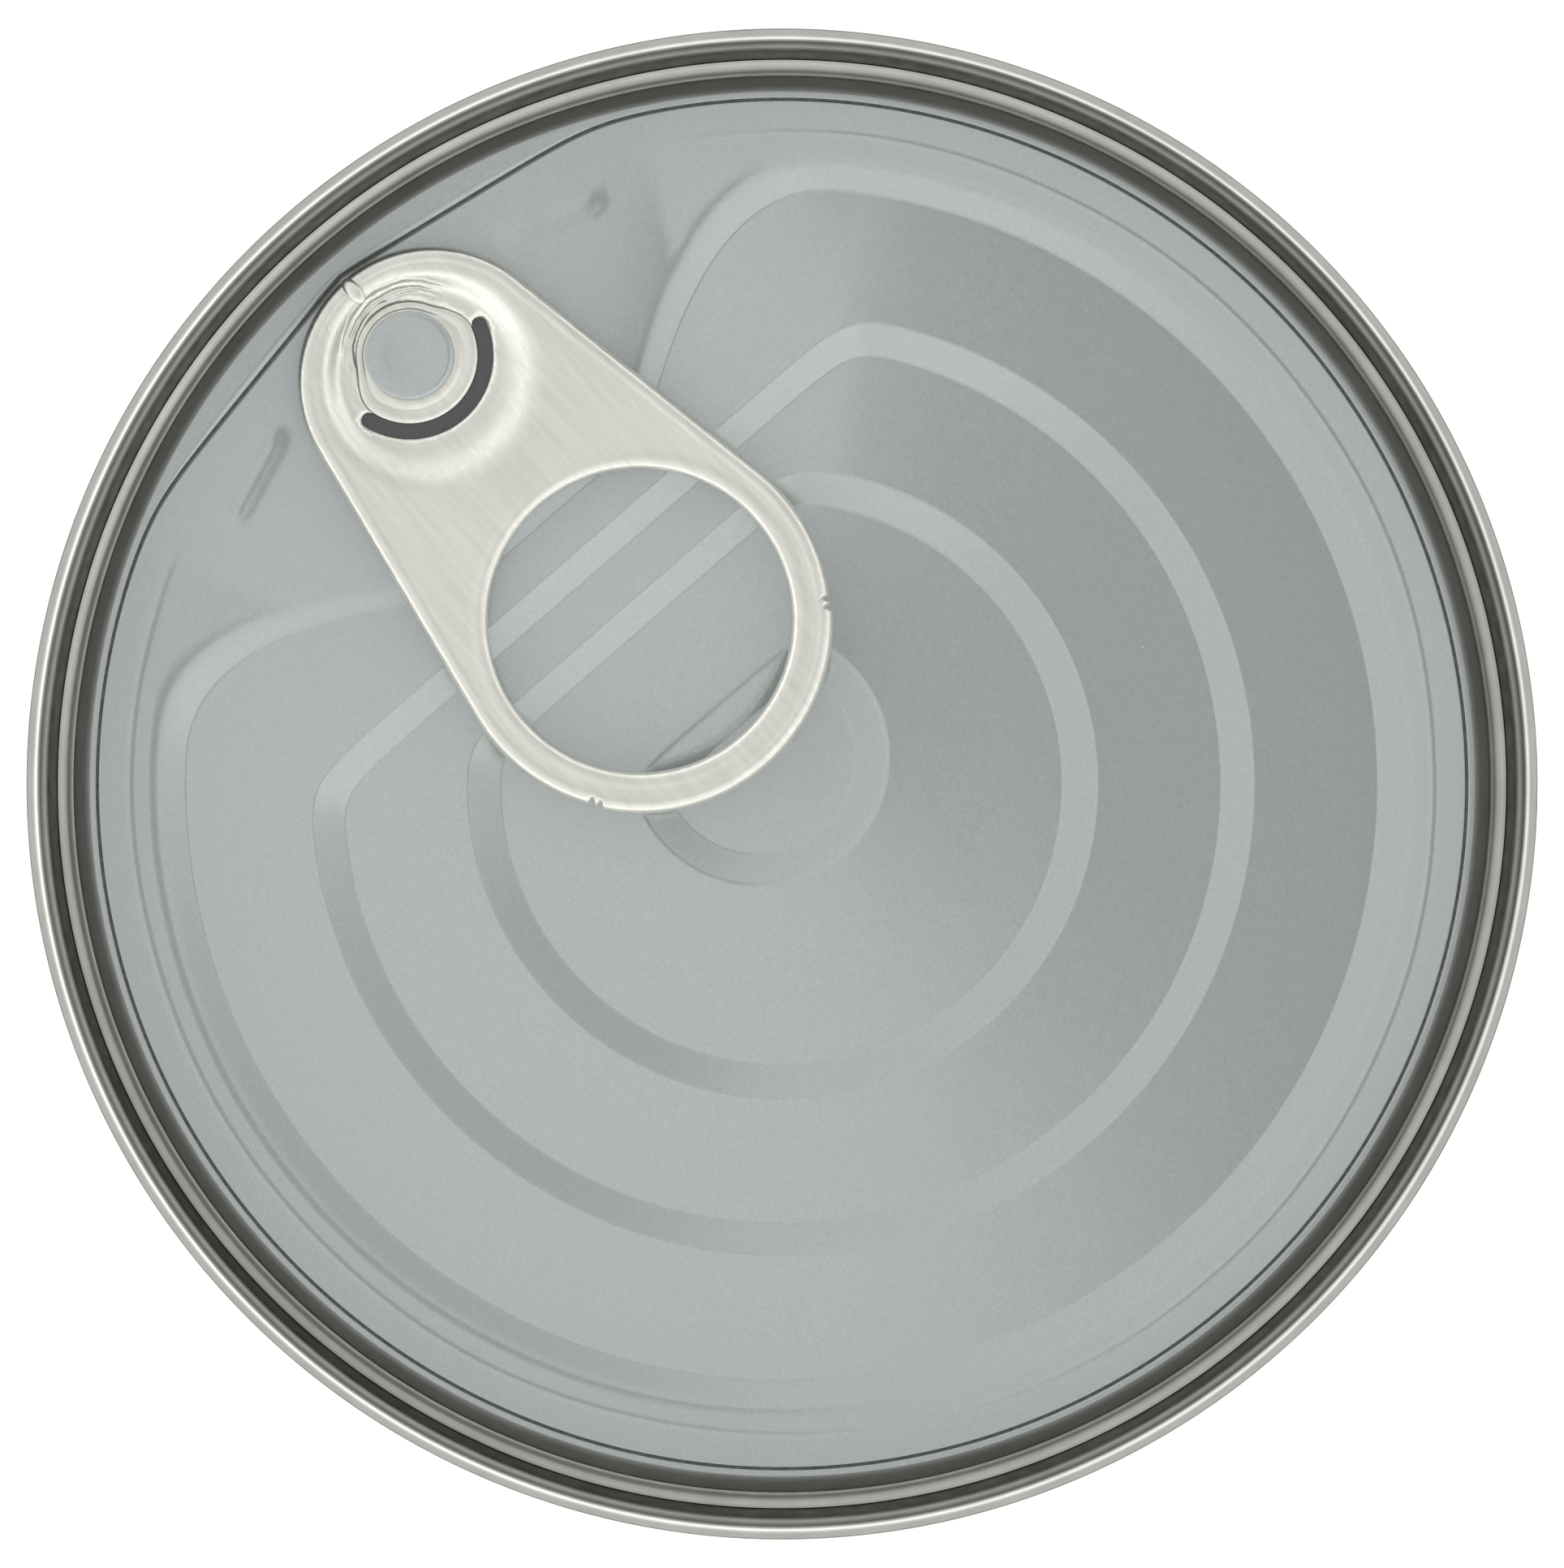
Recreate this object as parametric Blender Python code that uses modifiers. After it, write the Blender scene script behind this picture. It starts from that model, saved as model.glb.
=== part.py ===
"""Three-ball tennis can: a clear moulded body, a double-seamed metal end with a ring pull, and the balls inside.

The can stands on Z = 0 with its axis on Z. The pull tab's nose points to -Y and its ring to +Y.
The end tears along its score and folds up about its far edge, at +Y.
"""

import math

import bmesh
import bpy
from mathutils import Matrix, Vector

MM = 0.001

# Driving dimensions of the can.
CAN_HEIGHT = 209.0 * MM
SEAM_RADIUS = 38.1 * MM  # half of the 3 inch diameter over a size 300 double seam
WALL_MID_RADIUS = 37.0 * MM
WALL_THICKNESS = 0.45 * MM
END_THICKNESS = 0.22 * MM
HOOK_THICKNESS = 0.3 * MM  # the body's flange, thinned where it is rolled into the seam
SEAM_GAP = 0.04 * MM  # between one layer of the double seam and the next
TURN_STEPS = 48

# The end's removable panel, which sits below the seam. PANEL_TOP is its outer, highest level.
PANEL_TOP = CAN_HEIGHT - 3.0 * MM
SCORE_RADIUS = 34.57 * MM
SCORE_APEX = 34.0 * MM  # the score comes in to a blunt point under the tab's nose
SCORE_SLOPE = 0.171
SCORE_GAP = 0.15 * MM
PANEL_POINTS = 60
CORNER_SHARPNESS = 30
WELL_SHARPNESS = 12

# The pull tab. Stations are distances from the can's axis towards the nose.
RIVET_STATION = 28.65 * MM
RIVET_HEAD_RADIUS = 2.24 * MM
RIVET_SHANK_RADIUS = 1.5 * MM
NOSE_STATION, NOSE_RADIUS = 26.9 * MM, 6.81 * MM
RING_STATION, RING_RADIUS = 10.93 * MM, 9.66 * MM
FINGER_HOLE_RADIUS = 7.65 * MM
TAB_BOTTOM = PANEL_TOP + 0.2 * MM
TAB_HEIGHT = 1.1 * MM
TAB_SHEET = 0.32 * MM
TAB_CURL = 1.0 * MM  # width of the curled edges
TONGUE_RADIUS = 3.24 * MM
TONGUE_BOTTOM = PANEL_TOP + 0.12 * MM
SLOT_RADIUS = 4.22 * MM
SLOT_HALF_ANGLE = math.radians(78)
ROOT_DISTANCE = 2.6 * MM  # rivet axis to the line where the tab bends
TONGUE_GAP = 0.12 * MM
DISH_STATION = 27.75 * MM

# The balls.
BALL_RADIUS = 33.0 * MM
BALL_GAP = 0.2 * MM
FELT_THICKNESS = 3.05 * MM
CORE_RADIUS, CORE_BORE = 29.1 * MM, 25.7 * MM
SEAM_HALF_WIDTH = 1.0 * MM  # half of the channel between the two felts
SEAM_CLEARANCE = 0.1 * MM
SEAM_CURVE = 0.25  # share of the triple wave in the seam's curve
FELT_ROWS, FELT_COLUMNS = 18, 6
CORE_STEPS, CORE_RINGS = 18, 5

BASE_INNER_TOP = 3.1 * MM  # the middle of the pushed-up base, inside
LABEL_BOTTOM, LABEL_TOP = 46.0 * MM, 156.0 * MM
LABEL_THICKNESS = 0.12 * MM


def material(name, colour, roughness, metallic=0.0, alpha=1.0):
    made = bpy.data.materials.new(name)
    made.use_nodes = True
    shader = made.node_tree.nodes["Principled BSDF"]
    shader.inputs["Base Color"].default_value = (*colour, 1.0)
    shader.inputs["Roughness"].default_value = roughness
    shader.inputs["Metallic"].default_value = metallic
    shader.inputs["Alpha"].default_value = alpha
    return made


def clear_scene():
    for obj in list(bpy.data.objects):
        bpy.data.objects.remove(obj)


def new_collection(name, hidden=False):
    made = bpy.data.collections.new(name)
    made.hide_render = hidden
    bpy.context.scene.collection.children.link(made)
    return made


def add(name, data, collection, look=None, parent=None):
    """A new object from a mesh or a curve."""
    obj = bpy.data.objects.new(name, data)
    collection.objects.link(obj)
    if look:
        data.materials.append(look)
    obj.parent = parent
    return obj


def make_cutter(obj):
    obj.hide_render = True
    obj.display_type = "WIRE"
    return obj


def mesh_from(name, points, edges=(), faces=()):
    mesh = bpy.data.meshes.new(name)
    mesh.from_pydata(points, edges, faces)
    return mesh


def smooth(obj, angle=35):
    obj.data.shade_smooth()
    obj.data.set_sharp_from_angle(angle=math.radians(angle))


def boolean(obj, other, operation):
    cut = obj.modifiers.new(operation.title(), "BOOLEAN")
    cut.operation = operation
    cut.object = other
    cut.solver = "EXACT"


def turned(name, section, collection, look=None, steps=TURN_STEPS, parent=None):
    """A section of (radius, height) points turned about Z. It closes on itself unless its ends lie on the axis."""
    on_axis = section[0][0] == 0 and section[-1][0] == 0
    area = sum(a[0] * b[1] - b[0] * a[1] for a, b in zip(section, section[1:] + section[:1]))
    if area > 0:  # the Screw modifier needs the section to run clockwise
        section = section[::-1]
    count = len(section)
    edges = [(i, (i + 1) % count) for i in range(count - 1 if on_axis else count)]
    obj = add(name, mesh_from(name, [(r, 0, z) for r, z in section], edges), collection, look, parent)
    screw = obj.modifiers.new("Turn", "SCREW")
    screw.axis = "Z"
    screw.steps = screw.render_steps = steps
    screw.use_merge_vertices = True
    screw.merge_threshold = 1e-6
    screw.use_smooth_shade = True
    return obj


def sheet_section(path):
    """The closed section of a sheet that follows path, a list of (radius, height, thickness)."""
    left, right = [], []
    for i, (r, z, thickness) in enumerate(path):
        here = Vector((r, z))
        before = (here - Vector(path[i - 1][:2])).normalized() if i else None
        after = (Vector(path[i + 1][:2]) - here).normalized() if i + 1 < len(path) else None
        along = (before or after) + (after or before)
        if r == 0:
            along = Vector((1, 0))  # flat where it crosses the axis
        along.normalize()
        across = Vector((-along.y, along.x))
        stretch = 1 / max(0.6, along.dot(after or before))
        offset = across * thickness / 2 * (1 if r == 0 else stretch)
        left.append((max(0.0, (here + offset).x) if r else 0.0, (here + offset).y))
        right.append((max(0.0, (here - offset).x) if r else 0.0, (here - offset).y))
    return left + right[::-1]


def prism(name, outlines, bottom, top, collection, look=None):
    """A flat piece with straight sides: an outline and the holes in it, each a list of (x, y) points."""
    curve = bpy.data.curves.new(name, "CURVE")
    curve.dimensions = "2D"
    curve.fill_mode = "BOTH"
    curve.extrude = (top - bottom) / 2
    for outline in outlines:
        spline = curve.splines.new("POLY")
        spline.points.add(len(outline) - 1)
        for point, (x, y) in zip(spline.points, outline):
            point.co = (x, y, 0, 1)
        spline.use_cyclic_u = True
    drawn = add(name + "_outline", curve, collection)
    drawn.location.z = (bottom + top) / 2
    bpy.context.view_layer.update()
    graph = bpy.context.evaluated_depsgraph_get()
    mesh = bpy.data.meshes.new_from_object(drawn.evaluated_get(graph))
    mesh.transform(drawn.matrix_world)
    bpy.data.objects.remove(drawn)
    form = bmesh.new()
    form.from_mesh(mesh)
    bmesh.ops.remove_doubles(form, verts=form.verts, dist=1e-7)
    bmesh.ops.recalc_face_normals(form, faces=form.faces)
    form.to_mesh(mesh)
    form.free()
    return add(name, mesh, collection, look)


def arc(centre, radius, start, end, steps):
    """Points of an arc, with angles counted from the nose direction, -Y, towards +X."""
    angles = [start + (end - start) * i / steps for i in range(steps + 1)]
    return [(centre[0] + radius * math.sin(a), centre[1] - radius * math.cos(a)) for a in angles]


def circle(centre, radius, steps):
    return arc(centre, radius, 0, math.tau, steps)[:-1]


# ---------------------------------------------------------------- outlines of the end


def rounded_min(a, b, sharpness):
    """The lesser of two radii, with the corner where they meet rounded off."""
    return (a**-sharpness + b**-sharpness) ** (-1 / sharpness)


def chord(distance, angle, slope=0.0):
    """Radius at which a straight line across the nose side is met. It lies that far out, and falls back by slope."""
    reach = math.cos(angle) + slope * abs(math.sin(angle))
    return distance / reach if math.cos(angle) > 0.05 else 1.0


def score_radius(angle):
    return rounded_min(SCORE_RADIUS, chord(SCORE_APEX, angle, SCORE_SLOPE), 4 * CORNER_SHARPNESS)


def keyhole_radius(angle, radius, flat, start, end):
    """The outer bead: a circle that comes in, between two angles, to a flat across the tab."""
    share = min(1.0, max(0.0, (abs(angle) - start) / (end - start)))
    ease = share * share * (3 - 2 * share)
    return radius if ease == 1 else chord(flat, angle) * (1 - ease) + radius * ease


def dee_radius(angle, radius, flat):
    return rounded_min(radius, chord(flat, angle), CORNER_SHARPNESS)


def well_radius(angle, radius, flat):
    """The finger well's outline, whose round side is centred a little towards the nose."""
    centre = 1.83 * MM
    swing = centre * math.cos(angle) + math.sqrt(radius**2 - (centre * math.sin(angle)) ** 2)
    return rounded_min(swing, chord(flat, angle), WELL_SHARPNESS)


def loop(radius_at, grow=0.0):
    """The outline as (x, y) points, one for each of the panel's equal angles."""
    angles = [math.tau * i / PANEL_POINTS for i in range(PANEL_POINTS)]
    angles = [a if a <= math.pi else a - math.tau for a in angles]
    return [((radius_at(a) + grow) * math.sin(a), -(radius_at(a) + grow) * math.cos(a)) for a in angles]


# ---------------------------------------------------------------- the can


def build_body(collection, look):
    """Moulded body: a pushed-up base on a standing ring, a straight wall, and a flange hooked into the seam."""
    base = 0.9 * MM
    wall_z = CAN_HEIGHT - 6.0 * MM
    flange_radius = SEAM_RADIUS - 2.5 * END_THICKNESS - 1.5 * HOOK_THICKNESS - 3 * SEAM_GAP
    flange_radius += END_THICKNESS / 2
    hook_radius = SEAM_RADIUS - END_THICKNESS - SEAM_GAP - HOOK_THICKNESS / 2
    hook_top = CAN_HEIGHT - 0.62 * MM
    path = [
        (0, BASE_INNER_TOP - base / 2, base),
        (13 * MM, 2.5 * MM, base),
        (23 * MM, 2.0 * MM, base),
        (28 * MM, 1.1 * MM, 0.85 * MM),
        (30 * MM, 0.4 * MM, 0.8 * MM),
        (33 * MM, 0.4 * MM, 0.8 * MM),
        (35.3 * MM, 1.5 * MM, 0.7 * MM),
        (36.6 * MM, 3.8 * MM, 0.6 * MM),
        (WALL_MID_RADIUS, 8 * MM, 0.5 * MM),
        (WALL_MID_RADIUS, 60 * MM, WALL_THICKNESS),
        (WALL_MID_RADIUS, wall_z, WALL_THICKNESS),
        (flange_radius, CAN_HEIGHT - 3.4 * MM, HOOK_THICKNESS),
        (flange_radius, hook_top - 0.15 * MM, HOOK_THICKNESS),
        ((flange_radius + hook_radius) / 2, hook_top, HOOK_THICKNESS),
        (hook_radius, hook_top - 0.15 * MM, HOOK_THICKNESS),
        (hook_radius, CAN_HEIGHT - 2.4 * MM, HOOK_THICKNESS),
    ]
    return turned("can_body", sheet_section(path), collection, look)


def build_end_ring(collection, cutters, look):
    """What stays on the can when the panel is torn out: seam, chuck wall, countersink and the score's outer edge."""
    t = END_THICKNESS
    top = CAN_HEIGHT - t / 2
    skirt = SEAM_RADIUS - t / 2
    cover_hook = skirt - t - HOOK_THICKNESS - 2 * SEAM_GAP
    chuck = cover_hook - t - HOOK_THICKNESS - 2 * SEAM_GAP
    path = [
        (SCORE_RADIUS - 1.4 * MM, PANEL_TOP - t / 2),
        (34.85 * MM, PANEL_TOP - t / 2),
        (35.2 * MM, PANEL_TOP - 0.3 * MM),
        (35.32 * MM, PANEL_TOP - 0.8 * MM),
        (35.38 * MM, CAN_HEIGHT - 4.5 * MM),
        (35.62 * MM, CAN_HEIGHT - 4.84 * MM),
        (35.9 * MM, CAN_HEIGHT - 4.95 * MM),
        (36.18 * MM, CAN_HEIGHT - 4.84 * MM),
        (36.42 * MM, CAN_HEIGHT - 4.4 * MM),
        (chuck, CAN_HEIGHT - 0.7 * MM),
        (chuck + 0.12 * MM, CAN_HEIGHT - 0.3 * MM),
        (37.15 * MM, top),
        (37.5 * MM, top),
        (skirt - 0.13 * MM, CAN_HEIGHT - 0.3 * MM),
        (skirt, CAN_HEIGHT - 0.6 * MM),
        (skirt, CAN_HEIGHT - 2.75 * MM),
        ((skirt + cover_hook) / 2, CAN_HEIGHT - 2.98 * MM),
        (cover_hook, CAN_HEIGHT - 2.75 * MM),
        (cover_hook, CAN_HEIGHT - 1.0 * MM),
    ]
    ring = turned("end_ring", sheet_section([(r, z, t) for r, z in path]), collection, look)
    opening = prism("score_cutter", [loop(score_radius, SCORE_GAP / 2)], PANEL_TOP - 2 * MM, PANEL_TOP + MM, cutters)
    boolean(ring, make_cutter(opening), "DIFFERENCE")
    return ring


def build_seam_compound(collection, look):
    """The rubber lining that seals the end's curl against the body's flange."""
    inner, outer = 37.2 * MM, 37.56 * MM
    bottom, top = CAN_HEIGHT - 0.42 * MM, CAN_HEIGHT - 0.32 * MM
    section = [(outer, top), (outer, bottom), (inner, bottom), (inner, top)]
    return turned("seam_compound", section, collection, look)


def build_label(collection, look):
    inner = WALL_MID_RADIUS + WALL_THICKNESS / 2 + 0.06 * MM
    outer = inner + LABEL_THICKNESS
    section = [(outer, LABEL_TOP), (outer, LABEL_BOTTOM), (inner, LABEL_BOTTOM), (inner, LABEL_TOP)]
    return turned("label_sleeve", section, collection, look)


# ---------------------------------------------------------------- the panel that tears out


def panel_levels():
    """(outline, height) from the score inwards. Each bead is a short slope down to the next terrace."""
    rad = math.radians
    steps = (0.45 * MM, 0.4 * MM, 0.4 * MM, 0.55 * MM)
    slopes = [
        (
            lambda a: keyhole_radius(a, 31.39 * MM, 19.27 * MM, rad(15), rad(42)),
            lambda a: keyhole_radius(a, 30.08 * MM, 17.8 * MM, rad(16.5), rad(46.5)),
        ),
        (
            lambda a: dee_radius(a, 23.82 * MM, 15.71 * MM),
            lambda a: dee_radius(a, 22.18 * MM, 14.24 * MM),
        ),
        (
            lambda a: dee_radius(a, 15.92 * MM, 11.99 * MM),
            lambda a: dee_radius(a, 14.2 * MM, 10.56 * MM),
        ),
        (
            lambda a: well_radius(a, 6.46 * MM, 5.12 * MM),
            lambda a: well_radius(a, 4.99 * MM, 3.64 * MM),
        ),
    ]
    height = PANEL_TOP
    levels = [(loop(score_radius, -SCORE_GAP / 2), height)]
    for (outer, inner), step in zip(slopes, steps):
        levels.append((loop(outer), height))
        height -= step
        levels.append((loop(inner), height))
    return levels


def build_panel(collection, cutters, look):
    """Tear panel: four terraces stepping down to the finger well, and the rivet drawn up out of the same metal."""
    form = bmesh.new()
    rings = [[form.verts.new((x, y, z)) for x, y in outline] for outline, z in panel_levels()]
    middle = form.verts.new((0, 0, rings[-1][0].co.z))
    for outer, inner in zip(rings, rings[1:]):
        for i in range(PANEL_POINTS):
            j = (i + 1) % PANEL_POINTS
            form.faces.new((outer[i], outer[j], inner[j], inner[i]))
    for i in range(PANEL_POINTS):
        form.faces.new((rings[-1][i], rings[-1][(i + 1) % PANEL_POINTS], middle))
    mesh = bpy.data.meshes.new("tear_panel")
    form.to_mesh(mesh)
    form.free()
    panel = add("tear_panel", mesh, collection, look)
    shell = panel.modifiers.new("Sheet", "SOLIDIFY")
    shell.thickness = END_THICKNESS
    shell.offset = -1
    head_bottom = TONGUE_BOTTOM + TAB_SHEET + 0.05 * MM
    head_top = head_bottom + 0.32 * MM
    foot = PANEL_TOP - END_THICKNESS / 2
    section = [
        (0, head_top),
        (RIVET_HEAD_RADIUS - 0.15 * MM, head_top),
        (RIVET_HEAD_RADIUS, head_top - 0.12 * MM),
        (RIVET_HEAD_RADIUS, head_bottom),
        (RIVET_SHANK_RADIUS, head_bottom),
        (RIVET_SHANK_RADIUS, foot),
        (0, foot),
    ]
    rivet = make_cutter(turned("rivet_form", section, cutters, steps=24))
    rivet.location.y = -RIVET_STATION
    boolean(panel, rivet, "UNION")
    return panel


# ---------------------------------------------------------------- the pull tab


def tab_outline(inset, steps=14):
    """Two round ends joined by their outer tangents, drawn in by inset."""
    lean = math.asin((RING_RADIUS - NOSE_RADIUS) / (NOSE_STATION - RING_STATION))
    quarter = math.pi / 2 - lean
    nose = arc((0, -NOSE_STATION), NOSE_RADIUS - inset, -quarter, quarter, steps)
    ring = arc((0, -RING_STATION), RING_RADIUS - inset, quarter, math.tau - quarter, steps + 6)
    return nose + ring


def window_outline(grow, slot_radius):
    """The opening that the tongue sits in: an arc slot on the ring side, and a fine gap round the rest."""
    centre = (0, -RIVET_STATION)
    radius = TONGUE_RADIUS + grow
    root = ROOT_DISTANCE + grow
    corner = math.acos(root / radius)
    slot_start, slot_end = math.pi - SLOT_HALF_ANGLE, math.pi + SLOT_HALF_ANGLE
    return (
        arc(centre, radius, corner, slot_start, 4)
        + arc(centre, slot_radius, slot_start, slot_end, 14)
        + arc(centre, radius, slot_end, math.tau - corner, 4)
    )


def build_tab(collection, cutters, look):
    """Pull tab: a sheet web between curled edges, dished round the rivet."""
    top = TAB_BOTTOM + TAB_HEIGHT
    web_bottom = top - TAB_SHEET - 0.05 * MM
    hole_centre = (0, -RING_STATION)
    bore = circle(hole_centre, FINGER_HOLE_RADIUS, 28)
    web_hole = circle(hole_centre, FINGER_HOLE_RADIUS + TAB_CURL / 2, 28)
    dish_top, dish_floor = 5.45 * MM, 4.1 * MM
    dish_hole = circle((0, -DISH_STATION), dish_top - 0.3 * MM, 24)
    web_outline = tab_outline(TAB_CURL / 2)
    tab = prism("pull_tab", [web_outline, web_hole, dish_hole], web_bottom, top - 0.05 * MM, collection, look)
    rim = prism("tab_outer_curl", [tab_outline(0), tab_outline(TAB_CURL)], TAB_BOTTOM, top, cutters)
    ring = prism(
        "tab_ring_curl",
        [circle(hole_centre, FINGER_HOLE_RADIUS + TAB_CURL, 28), bore],
        TAB_BOTTOM,
        top,
        cutters,
    )
    middle = TONGUE_BOTTOM + TAB_SHEET / 2
    slope = [
        (2.2 * MM, middle, TAB_SHEET),
        (dish_floor, middle, TAB_SHEET),
        (dish_floor + 0.35 * MM, middle + 0.15 * MM, TAB_SHEET),
        (dish_top - 0.35 * MM, web_bottom + 0.05 * MM, TAB_SHEET),
        (dish_top, web_bottom + TAB_SHEET / 2, TAB_SHEET),
    ]
    dish = turned("tab_dish", sheet_section(slope), cutters, steps=28)
    dish.location.y = -DISH_STATION
    window = prism("tab_window", [window_outline(TONGUE_GAP, SLOT_RADIUS)], PANEL_TOP - MM, top + MM, cutters)
    for part in (rim, ring, dish):
        boolean(tab, make_cutter(part), "UNION")
    boolean(tab, make_cutter(window), "DIFFERENCE")
    return tab


def build_tongue(collection, look):
    """The tab's rivet island: it stays riveted flat to the panel when the rest of the tab is lifted."""
    outline = window_outline(0, TONGUE_RADIUS)
    hole = circle((0, -RIVET_STATION), RIVET_SHANK_RADIUS + 0.1 * MM, 20)
    return prism("tab_rivet_tongue", [outline, hole], TONGUE_BOTTOM, TONGUE_BOTTOM + TAB_SHEET, collection, look)


# ---------------------------------------------------------------- the balls


def seam_point(t):
    """Unit point on a tennis ball's seam, for t from 0 to a full turn."""
    a, b = 1 - SEAM_CURVE, SEAM_CURVE
    x = a * math.cos(t) + b * math.cos(3 * t)
    y = a * math.sin(t) - b * math.sin(3 * t)
    return Vector((x, y, 2 * math.sqrt(a * b) * math.sin(2 * t))).normalized()


def beside_seam(t, distance):
    """Unit point beside the seam, that far into the felt that covers +Z."""
    here = seam_point(t)
    along = (seam_point(t + 1e-4) - seam_point(t - 1e-4)).normalized()
    across = here.cross(along).normalized()
    return (here + across * distance).normalized()


def felt_skin(form, radius):
    """Rows of points on one side of a felt: arcs laid across it from one edge to the other."""
    inset = SEAM_HALF_WIDTH / BALL_RADIUS
    rows = []
    for i in range(FELT_ROWS + 1):
        t = -math.pi / 4 + math.pi * i / FELT_ROWS
        near, far = beside_seam(t, inset), beside_seam(-math.pi / 2 - t, inset)
        if i in (0, FELT_ROWS):
            rows.append([form.verts.new(near * radius)] * (FELT_COLUMNS + 1))
        else:
            shares = [j / FELT_COLUMNS for j in range(FELT_COLUMNS + 1)]
            rows.append([form.verts.new(near.slerp(far, share) * radius) for share in shares])
    return rows


def felt_mesh():
    """One of the two dumbbell-shaped covers, curved to the ball."""
    form = bmesh.new()
    outer, inner = (felt_skin(form, r) for r in (BALL_RADIUS, BALL_RADIUS - FELT_THICKNESS))
    for i in range(FELT_ROWS):
        for rows in (outer, inner):
            for j in range(FELT_COLUMNS):
                corners = (rows[i][j], rows[i][j + 1], rows[i + 1][j + 1], rows[i + 1][j])
                form.faces.new(list(dict.fromkeys(corners)))
        for j in (0, FELT_COLUMNS):
            form.faces.new((outer[i][j], outer[i + 1][j], inner[i + 1][j], inner[i][j]))
    bmesh.ops.recalc_face_normals(form, faces=form.faces)
    mesh = bpy.data.meshes.new("ball_felt")
    form.to_mesh(mesh)
    form.free()
    return mesh


def build_felt(name, mesh, parent, collection, flip):
    felt = add(name, mesh, collection, parent=parent)
    felt.rotation_euler.x = math.pi if flip else 0
    return felt


def build_core_half(name, parent, collection, look, flip):
    """Half of the hollow rubber core. The two halves are cemented together at the ball's middle."""
    glue_line = 0.05 * MM
    angles = [math.pi / 2 * i / CORE_RINGS for i in range(CORE_RINGS + 1)]
    outer = [(CORE_RADIUS * math.sin(a), CORE_RADIUS * math.cos(a)) for a in angles]
    inner = [(CORE_BORE * math.sin(a), CORE_BORE * math.cos(a)) for a in reversed(angles)]
    section = [(0 if i == 0 else r, max(z, glue_line)) for i, (r, z) in enumerate(outer)]
    section += [(0 if i == CORE_RINGS else r, max(z, glue_line)) for i, (r, z) in enumerate(inner)]
    half = turned(name, section, collection, look, CORE_STEPS, parent)
    half.rotation_euler.x = math.pi if flip else 0
    return half


def build_ball_seam(name, parent, collection, look):
    """The strip of rubber cement that fills the channel between the two felts."""
    width = (SEAM_HALF_WIDTH - SEAM_CLEARANCE) / BALL_RADIUS
    corners = ((width, 30.2 * MM), (width, 32.0 * MM), (0, 32.25 * MM), (-width, 32.0 * MM), (-width, 30.2 * MM))
    form = bmesh.new()
    count = 2 * FELT_ROWS
    rings = []
    for i in range(count):
        t = -math.pi / 4 + math.tau * i / count
        rings.append([form.verts.new(beside_seam(t, side) * radius) for side, radius in corners])
    for i, ring in enumerate(rings):
        following = rings[(i + 1) % count]
        for j in range(len(corners)):
            k = (j + 1) % len(corners)
            form.faces.new((ring[j], following[j], following[k], ring[k]))
    bmesh.ops.recalc_face_normals(form, faces=form.faces)
    mesh = bpy.data.meshes.new(name)
    form.to_mesh(mesh)
    form.free()
    return add(name, mesh, collection, look, parent)


def build_ball(number, height, turn, collection, looks):
    frame = bpy.data.objects.new(f"ball_{number}_frame", None)
    collection.objects.link(frame)
    frame.matrix_world = Matrix.Translation((0, 0, height)) @ turn
    prefix = f"ball_{number}_"
    felt = felt_mesh()
    felt.materials.append(looks["felt"])
    build_felt(prefix + "felt_a", felt, frame, collection, flip=False)
    build_felt(prefix + "felt_b", felt, frame, collection, flip=True)
    build_core_half(prefix + "core_upper", frame, collection, looks["rubber"], flip=False)
    build_core_half(prefix + "core_lower", frame, collection, looks["rubber"], flip=True)
    build_ball_seam(prefix + "seam", frame, collection, looks["cement"])


def build():
    clear_scene()
    can = new_collection("tennis_ball_can")
    cutters = new_collection("cutters", hidden=True)
    looks = {
        "clear": material("clear_plastic", (0.86, 0.92, 0.93), 0.08, alpha=0.25),
        "tinplate": material("tinplate", (0.58, 0.58, 0.55), 0.22, 1.0),
        "lacquer": material("panel_lacquer", (0.45, 0.5, 0.51), 0.4, 0.6),
        "tab": material("tab_metal", (0.78, 0.76, 0.7), 0.35, 1.0),
        "compound": material("seal_compound", (0.16, 0.16, 0.15), 0.8),
        "label": material("label_print", (0.02, 0.16, 0.13), 0.35),
        "felt": material("ball_felt", (0.62, 0.78, 0.06), 0.95),
        "rubber": material("core_rubber", (0.12, 0.11, 0.1), 0.75),
        "cement": material("seam_rubber", (0.82, 0.83, 0.78), 0.7),
    }
    build_body(can, looks["clear"])
    build_label(can, looks["label"])
    build_end_ring(can, cutters, looks["tinplate"])
    build_seam_compound(can, looks["compound"])
    build_panel(can, cutters, looks["lacquer"])
    build_tab(can, cutters, looks["tab"])
    build_tongue(can, looks["tab"])
    first = BASE_INNER_TOP + BALL_GAP + BALL_RADIUS
    turns = ((20, 65, 10), (75, -30, 140), (-40, 25, 250))
    for i, (x, y, z) in enumerate(turns):
        turn = Matrix.Rotation(math.radians(z), 4, "Z") @ Matrix.Rotation(math.radians(y), 4, "Y")
        turn = turn @ Matrix.Rotation(math.radians(x), 4, "X")
        build_ball(i + 1, first + i * (2 * BALL_RADIUS + BALL_GAP), turn, can, looks)
    for obj in can.objects:
        if obj.type == "MESH" and not any(m.type == "SCREW" for m in obj.modifiers):
            smooth(obj)


build()
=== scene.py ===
"""Looks for a three-ball tennis can: a pressed and rolled metal end, a clear body, a label and felt balls.

Everything is in metres in the can's own frame: it stands on Z = 0, and the pull tab's nose points to -Y.
"""

import math

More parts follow.
